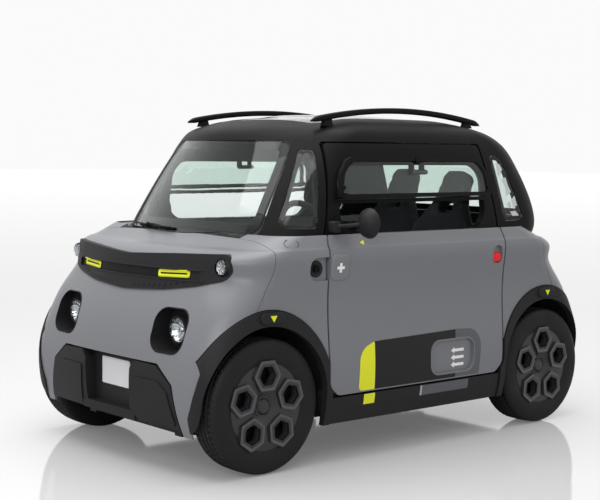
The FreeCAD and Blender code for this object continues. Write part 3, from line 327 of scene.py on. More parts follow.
def plastic(name, code, rough=0.45, grain=900.0, bump=0.06, vary=0.06, coat=0.0, shine=0.22):
    """Moulded plastic with a fine grain and a slow drift of tone."""
    material, tree, shader = new_material(name)
    colour = srgb(code)
    slow = object_noise(tree, TONE_SCALE)
    fine = object_noise(tree, grain, 2.0)
    darker = [c * (1 - vary) for c in colour[:3]] + [1.0]
    lighter = [c * (1 + vary) for c in colour[:3]] + [1.0]
    tint(tree, shader, slow, darker, lighter)
    roughen(tree, shader, slow, rough - 0.04, rough + 0.05)
    shader.inputs["Specular IOR Level"].default_value = shine
    shader.inputs["Coat Weight"].default_value = coat
    shader.inputs["Coat Roughness"].default_value = COAT_ROUGHNESS
    add_bump(tree, shader, fine, bump, PLASTIC_DEPTH)
    return material


def metal(name, code, rough=0.35, bump=0.1):
    material, tree, shader = new_material(name)
    shader.inputs["Metallic"].default_value = 1.0
    shader.inputs["Base Color"].default_value = srgb(code)
    fine = object_noise(tree, METAL_SCALE)
    roughen(tree, shader, fine, rough - ROUGH_DRIFT, rough + ROUGH_DRIFT)
    add_bump(tree, shader, fine, bump, METAL_DEPTH)
    return material


def glass(name, code, rough=0.0, ior=1.3):
    material, tree, shader = new_material(name)
    shader.inputs["Base Color"].default_value = srgb(code)
    shader.inputs["Transmission Weight"].default_value = 1.0
    shader.inputs["IOR"].default_value = ior
    shader.inputs["Specular IOR Level"].default_value = GLASS_SHINE
    roughen(tree, shader, object_noise(tree, GLASS_SCALE), rough, rough + GLASS_HAZE)
    return material


def rubber(name, code, rough=0.75, shine=0.2):
    """Rubber with a little pale dust on it."""
    material, tree, shader = new_material(name)
    colour = srgb(code)
    slow = object_noise(tree, DUST_SCALE)
    fine = object_noise(tree, RUBBER_SCALE)
    dusty = [min(1.0, c * 1.3 + 0.002) for c in colour[:3]] + [1.0]
    shader.inputs["Specular IOR Level"].default_value = shine
    tint(tree, shader, slow, colour, dusty)
    roughen(tree, shader, slow, rough - ROUGH_DRIFT, rough + ROUGH_DRIFT)
    add_bump(tree, shader, fine, RUBBER_BUMP, RUBBER_DEPTH)
    return material


M = {
    "body": plastic("body_satin_grey", BODY, rough=0.34, grain=1400.0, bump=0.03, vary=0.02,
                    shine=0.5),
    "trim": plastic("trim_grained_black", TRIM, rough=0.55, grain=700.0, bump=0.12),
    "gloss": plastic("frame_satin_black", BLACK, rough=0.46, grain=1200.0, bump=0.02,
                     shine=0.1),
    "glass": glass("window_glass", "ECF5F1"),
    "lens": glass("lamp_lens", "F4F6F6", ior=1.35),
    "red_lens": plastic("lamp_red", "8E1014", rough=0.12, coat=0.8, bump=0.0),
    "chassis": plastic("chassis_paint", "1A1A1C", rough=0.5),
    "floor": plastic("floor_mat", "1E1E20", rough=0.8, grain=300.0, bump=0.3),
    "seat": plastic("seat_cloth", "26262A", rough=0.9, grain=500.0, bump=0.3),
    "cabin": plastic("cabin_plastic", "202023", rough=0.6, grain=500.0, bump=0.15),
    "case": plastic("battery_case", "3C3E41", rough=0.5),
    "motor": metal("motor_cast", "9A9C9E"),
    "tyre": rubber("tyre_rubber", "0F0F10", rough=0.6, shine=0.26),
    "cover": plastic("wheel_cover", "1C1C1F", rough=0.32, grain=800.0, bump=0.05, shine=0.5),
    "yellow": plastic("sign_yellow", YELLOW, rough=0.4, bump=0.02, vary=0.02),
    "white": plastic("sign_white", WHITE, rough=0.4, bump=0.02, vary=0.02),
    "red": plastic("pad_red", RED, rough=0.35, bump=0.02, vary=0.03),
    # Near-black: painted shade in the lamp band's groove and grille slots, and the real dark
    # joint line round the wing's socket cover
    "dark": plastic("painted_recess_shade_and_joint_black", "0B0B0C", rough=0.6, bump=0.03),
    "sheet": plastic("sheet_black", "161618", rough=0.32, bump=0.02, vary=0.03),
    "sheet_grey": plastic("sheet_grey", "5C5D61", rough=0.34, bump=0.02, vary=0.03),
    "sheet_light": plastic("sheet_light_grey", "A8A9AC", rough=0.34, bump=0.02, vary=0.03),
    "frame": plastic("wheel_frame", "323236", rough=0.24, grain=800.0, bump=0.04, shine=0.8),
    "frit": plastic("printed_border", "070708", rough=0.2, bump=0.0, vary=0.02),
    "rubber": rubber("seal_rubber", "151516", rough=0.6),
    "shard": plastic("shard_print", "C9CFCC", rough=0.3, bump=0.0, vary=0.04),
    "plate": plastic("plate_white", "DADADC", rough=0.3, bump=0.02, vary=0.02, coat=0.3),
    "lever": plastic("latch_grey", "4A4A4D", rough=0.4, bump=0.04),
    "chrome": metal("lamp_reflector", "B4B7BA", rough=0.09, bump=0.02),
    "mirror": metal("mirror_silver", "D8DCDE", rough=0.02, bump=0.0),
}

SLOT_MATERIAL = {
    "body_grey": "body", "trim_black": "trim", "frame_black": "gloss", "window_glass": "glass",
    "clear_lens": "lens", "red_lens": "red_lens", "chassis_paint": "chassis",
    "floor_grey": "floor", "seat_grey": "seat", "interior_black": "cabin",
    "battery_case": "case", "motor_metal": "motor", "tyre": "tyre", "wheel_grey": "cover",
}


def dress_frame():
    """Give each node of the frame the material of its slot."""
    slots = {row["node"]: row["material_slot"] for row in frame["record"]["subparts"]}
    for name, piece in nodes.items():
        piece.data.materials.clear()
        piece.data.materials.append(M[SLOT_MATERIAL[slots[name]]])


def camera():
    data = bpy.data.cameras.new("camera")
    data.sensor_width = SENSOR_WIDTH
    data.lens = FOCAL_PIXELS * data.sensor_width / PHOTO_WIDTH
    data.clip_start = NEAR_CLIP
    piece = bpy.data.objects.new("camera", data)
    scene.collection.objects.link(piece)
    az, el = math.radians(CAMERA_AZIMUTH), math.radians(CAMERA_ELEVATION)
    back = Vector((math.sin(az) * math.cos(el), -math.cos(az) * math.cos(el), math.sin(el)))
    right = Vector((0, 0, 1)).cross(back).normalized()
    up = back.cross(right)
    turn = Matrix.Rotation(math.radians(CAMERA_ROLL), 4, back)
    axes = Matrix((right, up, back)).transposed().to_4x4()
    piece.matrix_world = Matrix.Translation(CAMERA_PLACE) @ turn @ axes
    scene.camera = piece


def area_light(name, place, target, size, power):
    data = bpy.data.lights.new(name, "AREA")
    data.shape = "RECTANGLE"
    data.size, data.size_y = size
    data.energy = power
    piece = bpy.data.objects.new(name, data)
    scene.collection.objects.link(piece)
    piece.location = place
    way = Vector(target) - Vector(place)
    piece.rotation_euler = way.to_track_quat("-Z", "Y").to_euler()


def math_node(tree, operation, first, second=None):
    """Node that works on one or two linked values."""
    node = tree.nodes.new("ShaderNodeMath")
    node.operation = operation
    tree.links.new(first, node.inputs[0])
    if second is not None:
        tree.links.new(second, node.inputs[1])
    return node


def surround():
    """White surround, plain where it is seen, and brighter from above where it lights."""
    world = bpy.data.worlds.new("studio")
    scene.world = world
    world.use_nodes = True
    tree = world.node_tree
    where = tree.nodes.new("ShaderNodeTexCoord")
    split = tree.nodes.new("ShaderNodeSeparateXYZ")
    tree.links.new(where.outputs["Generated"], split.inputs["Vector"])
    sky = mapped(tree, split.outputs["Z"], SKY_SPAN, SKY_STRENGTH)
    shade = tree.nodes["Background"]
    shade.inputs["Color"].default_value = (1, 1, 1, 1)
    tree.links.new(sky, shade.inputs["Strength"])
    plain = tree.nodes.new("ShaderNodeBackground")
    plain.inputs["Color"].default_value = (1, 1, 1, 1)
    plain.inputs["Strength"].default_value = BACKGROUND
    rays = tree.nodes.new("ShaderNodeLightPath").outputs
    through = math_node(tree, "MAXIMUM", rays["Is Transmission Ray"], rays["Is Glossy Ray"])
    seen = math_node(tree, "MAXIMUM", rays["Is Camera Ray"], through.outputs["Value"])
    choice = tree.nodes.new("ShaderNodeMixShader")
    tree.links.new(seen.outputs["Value"], choice.inputs[0])
    tree.links.new(shade.outputs["Background"], choice.inputs[1])
    tree.links.new(plain.outputs["Background"], choice.inputs[2])
    tree.links.new(choice.outputs["Shader"], tree.nodes["World Output"].inputs["Surface"])


def studio():
    """Surround, lights, and a pale floor that mirrors a little."""
    surround()
    for light in LIGHTS:
        area_light(*light)
    mesh = bpy.data.meshes.new("floor")
    floor = bpy.data.objects.new("floor", mesh)
    bm = bmesh.new()
    bmesh.ops.create_grid(bm, x_segments=1, y_segments=1, size=FLOOR_SIZE)
    bm.to_mesh(mesh)
    bm.free()
    scene.collection.objects.link(floor)
    floor.location.z = -FLOOR_DROP
    material, tree, shader = new_material("floor_pale")
    shader.inputs["Base Color"].default_value = (FLOOR_TONE, FLOOR_TONE, FLOOR_TONE, 1)
    shader.inputs["Emission Color"].default_value = (1, 1, 1, 1)
    rays = tree.nodes.new("ShaderNodeLightPath").outputs
    glow = math_node(tree, "MULTIPLY", rays["Is Camera Ray"])
    glow.inputs[1].default_value = FLOOR_GLOW
    tree.links.new(glow.outputs["Value"], shader.inputs["Emission Strength"])
    shader.inputs["Roughness"].default_value = FLOOR_ROUGHNESS
    shader.inputs["Specular IOR Level"].default_value = 0.5
    mesh.materials.append(material)


def link(name, mesh, material, body):
    piece = bpy.data.objects.new(name, mesh)
    scene.collection.objects.link(piece)
    mesh.materials.append(material)
    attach(piece, body)
    return piece


def grid_piece(name, rows, material, body, wrap_u=False, wrap_v=False, caps=False):
    """Quad mesh through rows of points, closed round along either way if asked."""
    mesh = bpy.data.meshes.new(name)
    count, width = len(rows), len(rows[0])
    verts = [tuple(p) for row in rows for p in row]
    faces = []
    for i in range(count if wrap_v else count - 1):
        for j in range(width if wrap_u else width - 1):
            a, b = i * width, ((i + 1) % count) * width
            k = (j + 1) % width
            faces.append((a + j, a + k, b + k, b + j))
    if caps:
        faces.append(tuple(range(width)))
        faces.append(tuple(range((count - 1) * width, count * width)))
    mesh.from_pydata(verts, [], faces)
    mesh.validate()
    bm = bmesh.new()
    bm.from_mesh(mesh)
    bmesh.ops.recalc_face_normals(bm, faces=bm.faces)
    bm.to_mesh(mesh)
    bm.free()
    mesh.shade_smooth()
    mesh.set_sharp_from_angle(angle=SHARP_ANGLE)
    return link(name, mesh, material, body)


def tread_loss(x, turn):
    """Depth of the tread's grooves and cuts at place x across it and at an angle."""
    loss = GROOVE_DEPTH if any(abs(x - g) < GROOVE_HALF for g in GROOVES) else 0.0
    for (start, end, slant, share, depth), across in ((SHOULDER_CUT, abs(x)), (INNER_CUT, x)):
        pitch = (turn * TREAD_PITCHES / math.tau + across * slant) % 1.0
        if start < abs(x) < end and pitch < share:
            loss = depth
    return loss


def tyre(name, node, body):
    """Tyre with grooves, cuts and a fine ridged band, in place of the plain one."""
    low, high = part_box(node)
    centre = (low + high) / 2
    radius = (high.z - low.z) / 2
    half = (high.x - low.x) / 2
    side = [(-half + inset, (radius if rise < 0 else RIM_RADIUS) + rise)
            for inset, rise in SIDEWALL]
    crown = [-CROWN_HALF + CROWN_STEP * k for k in range(CROWN_POINTS)]
    band_low, band_high = (radius - r for r in RIDGE_BAND)
    rows = []
    for i in range(TYRE_STEPS):
        turn = math.tau * i / TYRE_STEPS
        points = list(side)
        for x in crown:
            arch = CROWN_ARCH * (x / CROWN_HALF) ** 2
            points.append((x, radius - arch - tread_loss(x, turn)))
        points += [(-x, r) for x, r in reversed(side)]
        row = []
        for x, r in points:
            ridged = i % 2 and band_low < r < band_high and abs(x) > RIDGE_FROM_X
            x += math.copysign(RIDGE_HEIGHT if ridged else 0.0, x)
            row.append((centre.x + x, centre.y + r * math.sin(turn),
                        centre.z + r * math.cos(turn)))
        rows.append(row)
    piece = grid_piece(name, rows, M["tyre"], body, wrap_u=True, wrap_v=True)
    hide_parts(node)


def skin(*names):
    """Search tree over the faces of some nodes, to lay pieces on them."""
    verts, faces = [], []
    for name in names:
        mesh = nodes[name].data
        base = len(verts)
        verts += [v.co.copy() for v in mesh.vertices]
        faces += [[base + k for k in p.vertices] for p in mesh.polygons]
    return BVHTree.FromPolygons(verts, faces)


def from_side(sign):
    """Turn (y, z) of a side view into a ray towards the car's middle."""
    return lambda y, z: (Vector((sign * SIDE_START, y, z)), Vector((-sign, 0, 0)))


def from_end(sign):
    """Turn (x, z) of a front or rear view into a ray towards the car's middle."""
    return lambda x, z: (Vector((x, sign * END_START, z)), Vector((0, -sign, 0)))


def from_above(x, y):
    """Turn (x, y) of the top view into a ray straight down."""
    return Vector((x, y, TOP_START)), Vector((0, 0, -1))


def land(tree, view, u, v, lift):
    """Point on the skin below (u, v), lifted along the ray."""
    start, way = view(u, v)
    hit = tree.ray_cast(start, way)[0]
    return None if hit is None else hit - way * lift


def rounded(corners, radius, steps=6):
    """Outline through corners (u, v) or (u, v, own radius), each rounded."""
    points = []
    for i, corner in enumerate(corners):
        r = corner[2] if len(corner) > 2 else radius
        p = Vector(corner[:2])
        a = (Vector(corners[i - 1][:2]) - p).normalized()
        b = (Vector(corners[(i + 1) % len(corners)][:2]) - p).normalized()
        half = math.acos(max(-1.0, min(1.0, a.dot(b)))) / 2
        if r < 1e-5 or half > STRAIGHT_ANGLE:
            points.append(p)
            continue
        middle = p + (a + b).normalized() * r / math.sin(half)
        first = p + a * r / math.tan(half) - middle
        last = p + b * r / math.tan(half) - middle
        sweep = first.angle_signed(last)
        for k in range(steps + 1):
            turn = Matrix.Rotation(-sweep * k / steps, 2)
            points.append(middle + turn @ first)
    return [(q.x, q.y) for q in points]


def oblong(low_u, low_v, high_u, high_v):
    """Corners of an upright rectangle."""
    return [(low_u, low_v), (high_u, low_v), (high_u, high_v), (low_u, high_v)]


def mirrored(outline):
    """The same outline seen from the other side of the car."""
    return [(-u, v) for u, v in reversed(outline)]


def on_side(sign, outline):
    """An outline drawn for the left side, turned end for end on the right side."""
    return outline if sign > 0 else mirrored(outline)


def both(points):
    """Whole outline from its half at positive x (x, z, radius)."""
    return list(points) + [(-p[0], *p[1:]) for p in reversed(points)]


def moved(corners, inset):
    """Corners of an outline whose sides are all drawn in by an inset."""
    points = [Vector(c[:2]) for c in corners]
    area = sum(a.x * b.y - b.x * a.y for a, b in zip(points, points[1:] + points[:1]))
    turn = math.copysign(1.0, area)
    out = []
    for i, corner in enumerate(corners):
        before = (points[i] - points[i - 1]).normalized()
        after = (points[(i + 1) % len(points)] - points[i]).normalized()
        first = Vector((-before.y, before.x)) * turn
        second = Vector((-after.y, after.x)) * turn
        place = points[i] + (first + second) * inset / (1 + first.dot(second))
        radius = max(corner[2] - inset, LEAST_CORNER) if len(corner) > 2 else 0.0
        out.append((place.x, place.y, radius))
    return out


def shrunk(outline, inset):
    """Outline drawn in towards its middle by a distance."""
    middle = Vector((sum(p[0] for p in outline), sum(p[1] for p in outline))) / len(outline)
    out = []
    for p in outline:
        away = Vector(p) - middle
        out.append(tuple(middle + away * max(0.0, 1 - inset / max(away.length, 1e-6))))
    return out


def patch(name, outline, tree, view, material, body="body", lift=SHEET_LIFT,
          skirt=SHEET_SKIRT):
    """Thin sheet that follows the skin under a flat outline, with an edge down to it."""
    mesh = bpy.data.meshes.new(name)
    bm = bmesh.new()
    bm.faces.new([bm.verts.new((u, v, 0)) for u, v in outline])
    for axis, normal in enumerate((Vector((1, 0, 0)), Vector((0, 1, 0)))):
        low = min(p[axis] for p in outline)
        high = max(p[axis] for p in outline)
        for k in range(1, int((high - low) / SHEET_GRID) + 1):
            bmesh.ops.bisect_plane(bm, geom=bm.verts[:] + bm.edges[:] + bm.faces[:],
                                   plane_co=normal * (low + k * SHEET_GRID),
                                   plane_no=normal, dist=1e-6)
    bmesh.ops.triangulate(bm, faces=[f for f in bm.faces if len(f.verts) > 4])
    edge = [e for e in bm.edges if e.is_boundary]
    grown = bmesh.ops.extrude_edge_only(bm, edges=edge)["geom"]
    foot = {v for v in grown if isinstance(v, bmesh.types.BMVert)}
    for vert in bm.verts:
        drop = skirt if vert in foot else 0.0
        place = land(tree, view, vert.co.x, vert.co.y, lift - drop)
        if place is None:
            raise ValueError(f"{name} leaves its skin at {tuple(vert.co)}")
        vert.co = place
    bmesh.ops.recalc_face_normals(bm, faces=bm.faces)
    bm.to_mesh(mesh)
    bm.free()
    mesh.shade_smooth()
    mesh.set_sharp_from_angle(angle=SHEET_SHARP_ANGLE)
    return link(name, mesh, material, body)


def pad(name, outline, tree, view, material, body, profile):
    """Moulded pad on the skin; profile lists (inset, lift) from its foot to its middle."""
    rows = []
    for inset, lift in profile:
        row = [land(tree, view, u, v, lift) for u, v in shrunk(outline, inset)]
        rows.append([p for p in row if p is not None])
    middle = sum((p for p in rows[-1]), Vector()) / len(rows[-1])
    rows.append([middle + (p - middle) * 0.02 for p in rows[-1]])
    return grid_piece(name, rows, material, body, wrap_u=True)


def ring(name, outer, inner, tree, view, material, lift=0.0008, bands=4, height=0.0):
    """Flat border between two like outlines on the skin, or a low bead if it has a height."""
    rows = [[land(tree, view, u, v, lift - RING_FOOT) for u, v in outer]]
    for k in range(bands + 1):
        share = k / bands
        swell = height * math.sin(math.pi * share)
        rows.append([land(tree, view, u0 + (u1 - u0) * share, v0 + (v1 - v0) * share,
                          lift + swell) for (u0, v0), (u1, v1) in zip(outer, inner)])
    rows.append([land(tree, view, u, v, lift - RING_FOOT) for u, v in inner])
    missing = [i for row in rows for i, p in enumerate(row) if p is None]
    if missing:
        raise ValueError(f"{name} leaves its skin at {missing[:4]}")
    return grid_piece(name, rows, material, "body", wrap_u=True)


def turned(name, profile, centre, axis, material, body="body", steps=64, flutes=0, depth=0.0):
    """Solid of revolution: profile (radius, along) about an axis through centre."""
    axis = Vector(axis).normalized()
    side = axis.orthogonal().normalized()
    other = axis.cross(side)
    rows = []
    for r, along in profile:
        row = []
        for k in range(steps):
            turn = math.tau * k / steps
            dent = depth * (0.5 - 0.5 * math.cos(turn * flutes)) if flutes else 0.0
            way = side * math.cos(turn) + other * math.sin(turn)
            row.append(Vector(centre) + axis * (along + dent) + way * r)
        rows.append(row)
    return grid_piece(name, rows, material, body, wrap_u=True)


def tube(name, points, radius, material, body="body"):
    """Round bar along points, smoothed by a spline."""
    data = bpy.data.curves.new(name + "_path", "CURVE")
    data.dimensions = "3D"
    data.bevel_depth = radius
    data.bevel_resolution = TUBE_BEVEL
    data.resolution_u = TUBE_STEPS
    data.use_fill_caps = True
    spline = data.splines.new("NURBS")
    spline.points.add(len(points) - 1)
    for knot, p in zip(spline.points, points):
        knot.co = (*p, 1.0)
    spline.order_u = 3
    spline.use_endpoint_u = True
    shape = bpy.data.objects.new(name + "_path", data)
    scene.collection.objects.link(shape)
    graph = bpy.context.evaluated_depsgraph_get()
    mesh = bpy.data.meshes.new_from_object(shape.evaluated_get(graph))
    bpy.data.objects.remove(shape)
    mesh.name = name
    mesh.materials.clear()
    mesh.shade_smooth()
    return link(name, mesh, material, body)


def door_graphics():
    """Sheets, arrows, marks and pads on each door, the right one turned end for end."""
    yellow = rounded([(-0.288, 0.294), (-0.288, 0.500, 0.006), (-0.372, 0.468, 0.075),
                      (-0.380, 0.294, 0.02)], 0.002)
    black = rounded([(-0.285, 0.294), (0.219, 0.294), (0.219, 0.311), (0.056, 0.311, 0.055),
                     (0.056, 0.472, 0.055), (0.219, 0.472), (0.219, 0.511),
                     (-0.285, 0.500)], 0.001)
    grey = rounded([(0.222, 0.294), (0.378, 0.294, 0.01), (0.398, 0.505, 0.085),
                    (0.222, 0.512), (0.222, 0.472), (0.352, 0.472, 0.055),
                    (0.352, 0.311, 0.055), (0.222, 0.311)], 0.001)
    arrow = [(0.226, -0.0135), (0.226, -0.0065), (0.289, -0.0065), (0.289, 0.0065),
             (0.226, 0.0065), (0.226, 0.0135), (0.205, 0.0)]
    mark = [(-0.350, 0.9165), (-0.350, 0.9375), (-0.374, 0.9270)]
    cross = [(0.006, 0.006), (0.020, 0.006), (0.020, -0.006), (0.006, -0.006),
             (0.006, -0.020), (-0.006, -0.020), (-0.006, -0.006), (-0.020, -0.006),
             (-0.020, 0.006), (-0.006, 0.006), (-0.006, 0.020), (0.006, 0.020)]
    plus = [(u - 0.495, v + 0.827) for u, v in cross]
    grip = rounded(oblong(-0.544, 0.773, -0.443, 0.885), 0.028)
    marker = rounded(oblong(0.470, 0.803, 0.530, 0.850), 0.02)
    for side, sign in SIDES:
        body = "door_" + side
        tree = skin(body)
        view = from_side(sign)
        for name, outline, material in (("yellow", yellow, "yellow"),
                                        ("black", black, "sheet"),
                                        ("grey", grey, "sheet_grey")):
            patch(f"sheet_{name}_{side}", on_side(sign, outline), tree, view, M[material],
                  body)
        for k, z in enumerate(ARROW_LEVELS):
            outline = [(u, v + z) for u, v in arrow]
            patch(f"step_arrow_{k}_{side}", on_side(sign, outline), tree, view, M["white"],
                  body, lift=0.001)
        pad("handle_plate_" + side, on_side(sign, grip), tree, view, M["body"], body,
            HANDLE_PROFILE)
        patch("open_mark_" + side, on_side(sign, mark), tree, view, M["yellow"], body,
              lift=0.0008, skirt=0.001)
        patch("handle_cross_" + side, on_side(sign, plus), tree, view, M["white"], body,
              lift=0.0078, skirt=0.001)
        pad("marker_" + side, on_side(sign, marker), tree, view, M["red"], body,
            DOOR_MARKER_PROFILE)


def band_details(end, sign):
    """Coloured loops, ledges, and near-black sheets of painted shade in the groove and grille
    slots of the lamp band at one end.
    """
    tree = skin(end + "_band")
    view = from_end(sign)
    colour = M["yellow"] if sign < 0 else M["red"]
    for k, s in enumerate((1, -1)):
        corners = [(s * 0.222, 0.785, 0.010), (s * 0.396, 0.791, 0.010),
                   (s * 0.396, 0.823, 0.010), (s * 0.222, 0.817, 0.010)]
        inner = rounded(moved(corners, LOOP_WIDTH), 0.003)
        ring(f"{end}_band_loop_{k}", rounded(corners, 0.010), inner, tree, view, colour,
             lift=0.0035, height=0.003)
    # The groove is a flat near-black sheet on the band: painted shade standing in for its depth
    groove = rounded(oblong(-0.220, 0.784, 0.220, 0.818), 0.004)
    patch(f"{end}_band_groove_shade", groove, tree, view, M["dark"], lift=0.0006, skirt=0.001)
    for k, z in enumerate(LEDGE_LEVELS):
        edge = [land(tree, view, -0.47 + 0.047 * i, z, 0.0) for i in range(21)]
        tube(f"{end}_band_ledge_{k}", edge, LEDGE_RADIUS, M["trim"])
    # Each grille slot is a flat near-black sheet on the band: painted shade standing in for the
    # slot's depth
    for k in range(SLOT_COUNT):
        u = SLOT_START + SLOT_PITCH * k
        if abs(u) < SLOT_CLEAR:
            continue
        lean = math.copysign(SLOT_LEAN, u)
        # The feet of the slots follow the band's lower edge, which rises towards its ends
        low = 0.731 + 0.05 * abs(u) + 0.18 * max(0.0, abs(u) - 0.27)
        top = low + SLOT_HEIGHT
        slot = [(u - 0.004, low), (u + 0.005, low), (u + 0.005 + lean, top),
                (u - 0.004 + lean, top)]
        patch(f"{end}_band_slot_shade_{k}", rounded(slot, 0.003, 3), tree, view, M["dark"],
              lift=0.0006)


def lamps(end, sign):
    """Round lamps with fluted bowl and lens: a large and a small one on each side."""
    lens = M["lens"] if sign < 0 else M["red_lens"]
    axis = (0, sign, 0)
    for side, way in SIDES:
        place = (way * LAMP_X, sign * LAMP_Y, LAMP_Z)
        name = f"{end}_lamp_{side}"
        bowl = turned(name + "_bowl", LAMP_BOWL, place, axis, M["chrome"], steps=96,
                      flutes=LAMP_FLUTES, depth=LAMP_FLUTE_DEPTH)
        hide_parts(end + "_lamps")
        turned(name + "_bulb", LAMP_BULB, place, axis, M["chrome"], steps=48)
        turned(name + "_ring", LAMP_RING, place, axis, M["trim"], steps=72)
        turned(name + "_lens", LAMP_LENS, place, axis, lens, steps=72)
    for side, way in SIDES:
        place = (way * MARKER_X, sign * MARKER_Y, MARKER_Z)
        name = f"{end}_marker_lamp_{side}"
        turned(name + "_bowl", MARKER_BOWL, place, axis, M["chrome"], steps=72,
               flutes=MARKER_FLUTES, depth=MARKER_FLUTE_DEPTH)
        turned(name + "_lens", MARKER_LENS, place, axis, lens)


def lamp_bezel_rims(end, sign):
    """Soft bead round the edge of each lamp cup."""
    tree = skin("lamp_bezels", end + "_fascia")
    wide, tall = BEZEL_HALF
    for side, way in SIDES:
        x = way * LAMP_X
        outer = oblong(x - wide, LAMP_Z - tall, x + wide, LAMP_Z + tall)
        inner = oblong(x - wide + BEZEL_BEAD, LAMP_Z + BEZEL_BEAD - tall,
                       x + wide - BEZEL_BEAD, LAMP_Z - BEZEL_BEAD + tall)
        ring(f"{end}_bezel_bead_{side}", rounded(outer, 0.062), rounded(inner, 0.056), tree,
             from_end(sign), M["trim"], height=0.0022)


def plate(end, sign):
    """Number plate with a fine raised edge."""
    tree = skin(end + "_bumper")
    view = from_end(sign)
    face = rounded(oblong(-PLATE_HALF, PLATE_LOW, PLATE_HALF, PLATE_HIGH), 0.008)
    patch(f"{end}_plate", face, tree, view, M["plate"], lift=0.0042, skirt=0.004)
    side = PLATE_HALF - PLATE_EDGE
    border = rounded(oblong(-side, PLATE_LOW + PLATE_EDGE, side, PLATE_HIGH - PLATE_EDGE),
                     0.006)
    middle = (PLATE_LOW + PLATE_HIGH) / 2
    inner = [(u * 0.975, middle + (v - middle) * 0.955) for u, v in border]
    ring(f"{end}_plate_rim", border, inner, tree, view, M["plate"], lift=0.0045,
         height=0.0008)


def hexagon_path(radius):
    """Outline of a hexagon with rounded corners."""
    corner = radius * HEX_CORNER
    turns = [math.radians(30 + 60 * k) for k in range(6)]
    return rounded([(radius * math.sin(a), radius * math.cos(a)) for a in turns], corner, 5)


def wheel_details(body, sign):
    """Bevelled frames round the five openings of a wheel, and its centre cap."""
    low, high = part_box(body)
    centre = (low + high) / 2
    face = sign * HUB_FACE
    for k in range(HEX_COUNT):
        angle = math.tau * k / HEX_COUNT
        y = centre.y + HEX_ORBIT * math.sin(angle)
        z = centre.z + HEX_ORBIT * math.cos(angle)
        turn = Matrix.Rotation(-angle, 2)
        rows = []
        for radius, out in HEX_FRAME:
            points = [turn @ Vector(p) for p in hexagon_path(radius)]
            rows.append([(face + sign * out, y + p.x, z + p.y) for p in points])
        grid_piece(f"{body}_frame_{k}", rows, M["frame"], body, wrap_u=True)
    turned(body + "_cap", CAP, (face - sign * CAP_DEPTH, centre.y, centre.z), (sign, 0, 0),
           M["cover"], body, steps=48)


def window_borders():
    """Seals, printed black borders and pale shards on the outside of the panes."""
    for name, node, half, sign, width in (
            ("windscreen_border", "windscreen", SCREEN, -1, 0.042),
            ("rear_window_border", "rear_window", REAR_SCREEN, 1, 0.034)):
        tree = skin(node)
        view = from_end(sign)
        edges = [rounded(moved(both(half), inset), SCREEN_CORNER)
                 for inset in (0.004, width, 0.001, 0.009)]
        ring(name, edges[0], edges[1], tree, view, M["frit"], bands=6)
        ring(name + "_seal", edges[2], edges[3], tree, view, M["rubber"], lift=0.0002,
             height=0.004)
    tree = skin("quarter_windows")
    for side, sign in SIDES:
        view = from_side(sign)
        for name, corners, width in (("front_quarter", FRONT_QUARTER, 0.012),
                                     ("rear_quarter", REAR_QUARTER, 0.022)):
            outer = rounded(moved(corners, 0.003), QUARTER_CORNER)
            inner = rounded(moved(corners, width), QUARTER_CORNER)
            ring(f"{name}_border_{side}", outer, inner, tree, view, M["frit"])
        for k, outline in enumerate(SHARDS):
            patch(f"shard_{k}_{side}", outline, tree, view, M["shard"], lift=0.0006,
                  skirt=0.001)


def wiper():
    """Arm from the cowl and a blade at the foot of the windscreen."""
    tree = skin("windscreen")
    view = from_end(-1)
    blade = [land(tree, view, -0.400 + 0.0485 * k, 0.974 - 0.0006 * k, 0.016)
             for k in range(9)]
    tube("wiper_blade_spine", blade, SPINE_RADIUS, M["gloss"])
    rows = []
    for lift, drop in LIP_SECTION:
        rows.append([land(tree, view, -0.405 + 0.0102 * k, 0.9735 - 0.00013 * k + drop, lift)
                     for k in range(41)])
    grid_piece("wiper_blade_lip", rows, M["rubber"], "body", wrap_v=True)
    grip = blade[4] + Vector((0, -0.008, 0.004))
    x, y, rise = WIPER_PIVOT
    pivot = Vector((x, y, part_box("cowl")[1].z + rise))
    arm = [grip, grip.lerp(pivot, 0.3) + Vector((0, -0.008, 0.006)),
           grip.lerp(pivot, 0.75) + Vector((0, -0.006, 0.006)), pivot]
    tube("wiper_arm", arm, ARM_RADIUS, M["gloss"])
    turned("wiper_pivot", PIVOT_CAP, pivot, (0, -0.3, 1), M["gloss"], steps=40)
    turned("wiper_joint", WIPER_JOINT, grip, (0, -1, 0.4), M["gloss"], steps=32)


def mirror(side, sign):
    """Door mirror: domed shell and glass, on an arm with its foot."""
    body = "door_" + side
    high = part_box(body + "_mirror")[1]
    place = (sign * MIRROR_X, high.y, MIRROR_Z)
    dome = turned(f"mirror_dome_{side}", MIRROR_DOME, place, (0, -1, 0), M["trim"], body,
                  steps=96)
    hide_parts(f"door_{side}_mirror")
    turned(f"mirror_glass_{side}", MIRROR_GLASS, place, (0, -1, 0), M["mirror"], body,
           steps=96)
    foot = rounded(oblong(-0.520, 0.972, -0.476, 1.020), 0.010)
    rows = [[(sign * out, y, z) for y, z in shrunk(foot, inset)]
            for out, inset in MIRROR_FOOT]
    grid_piece(f"mirror_foot_{side}", rows, M["trim"], body, wrap_u=True, caps=True)
    root = Vector((sign * 0.668, -0.498, 1.000))
    tip = Vector((sign * 0.742, high.y - 0.036, 1.010))
    sag = root.lerp(tip, 0.5) + Vector((0, 0, -0.004))
    tube(f"mirror_arm_{side}", [root, sag, tip], MIRROR_ARM_RADIUS, M["trim"],
         body)


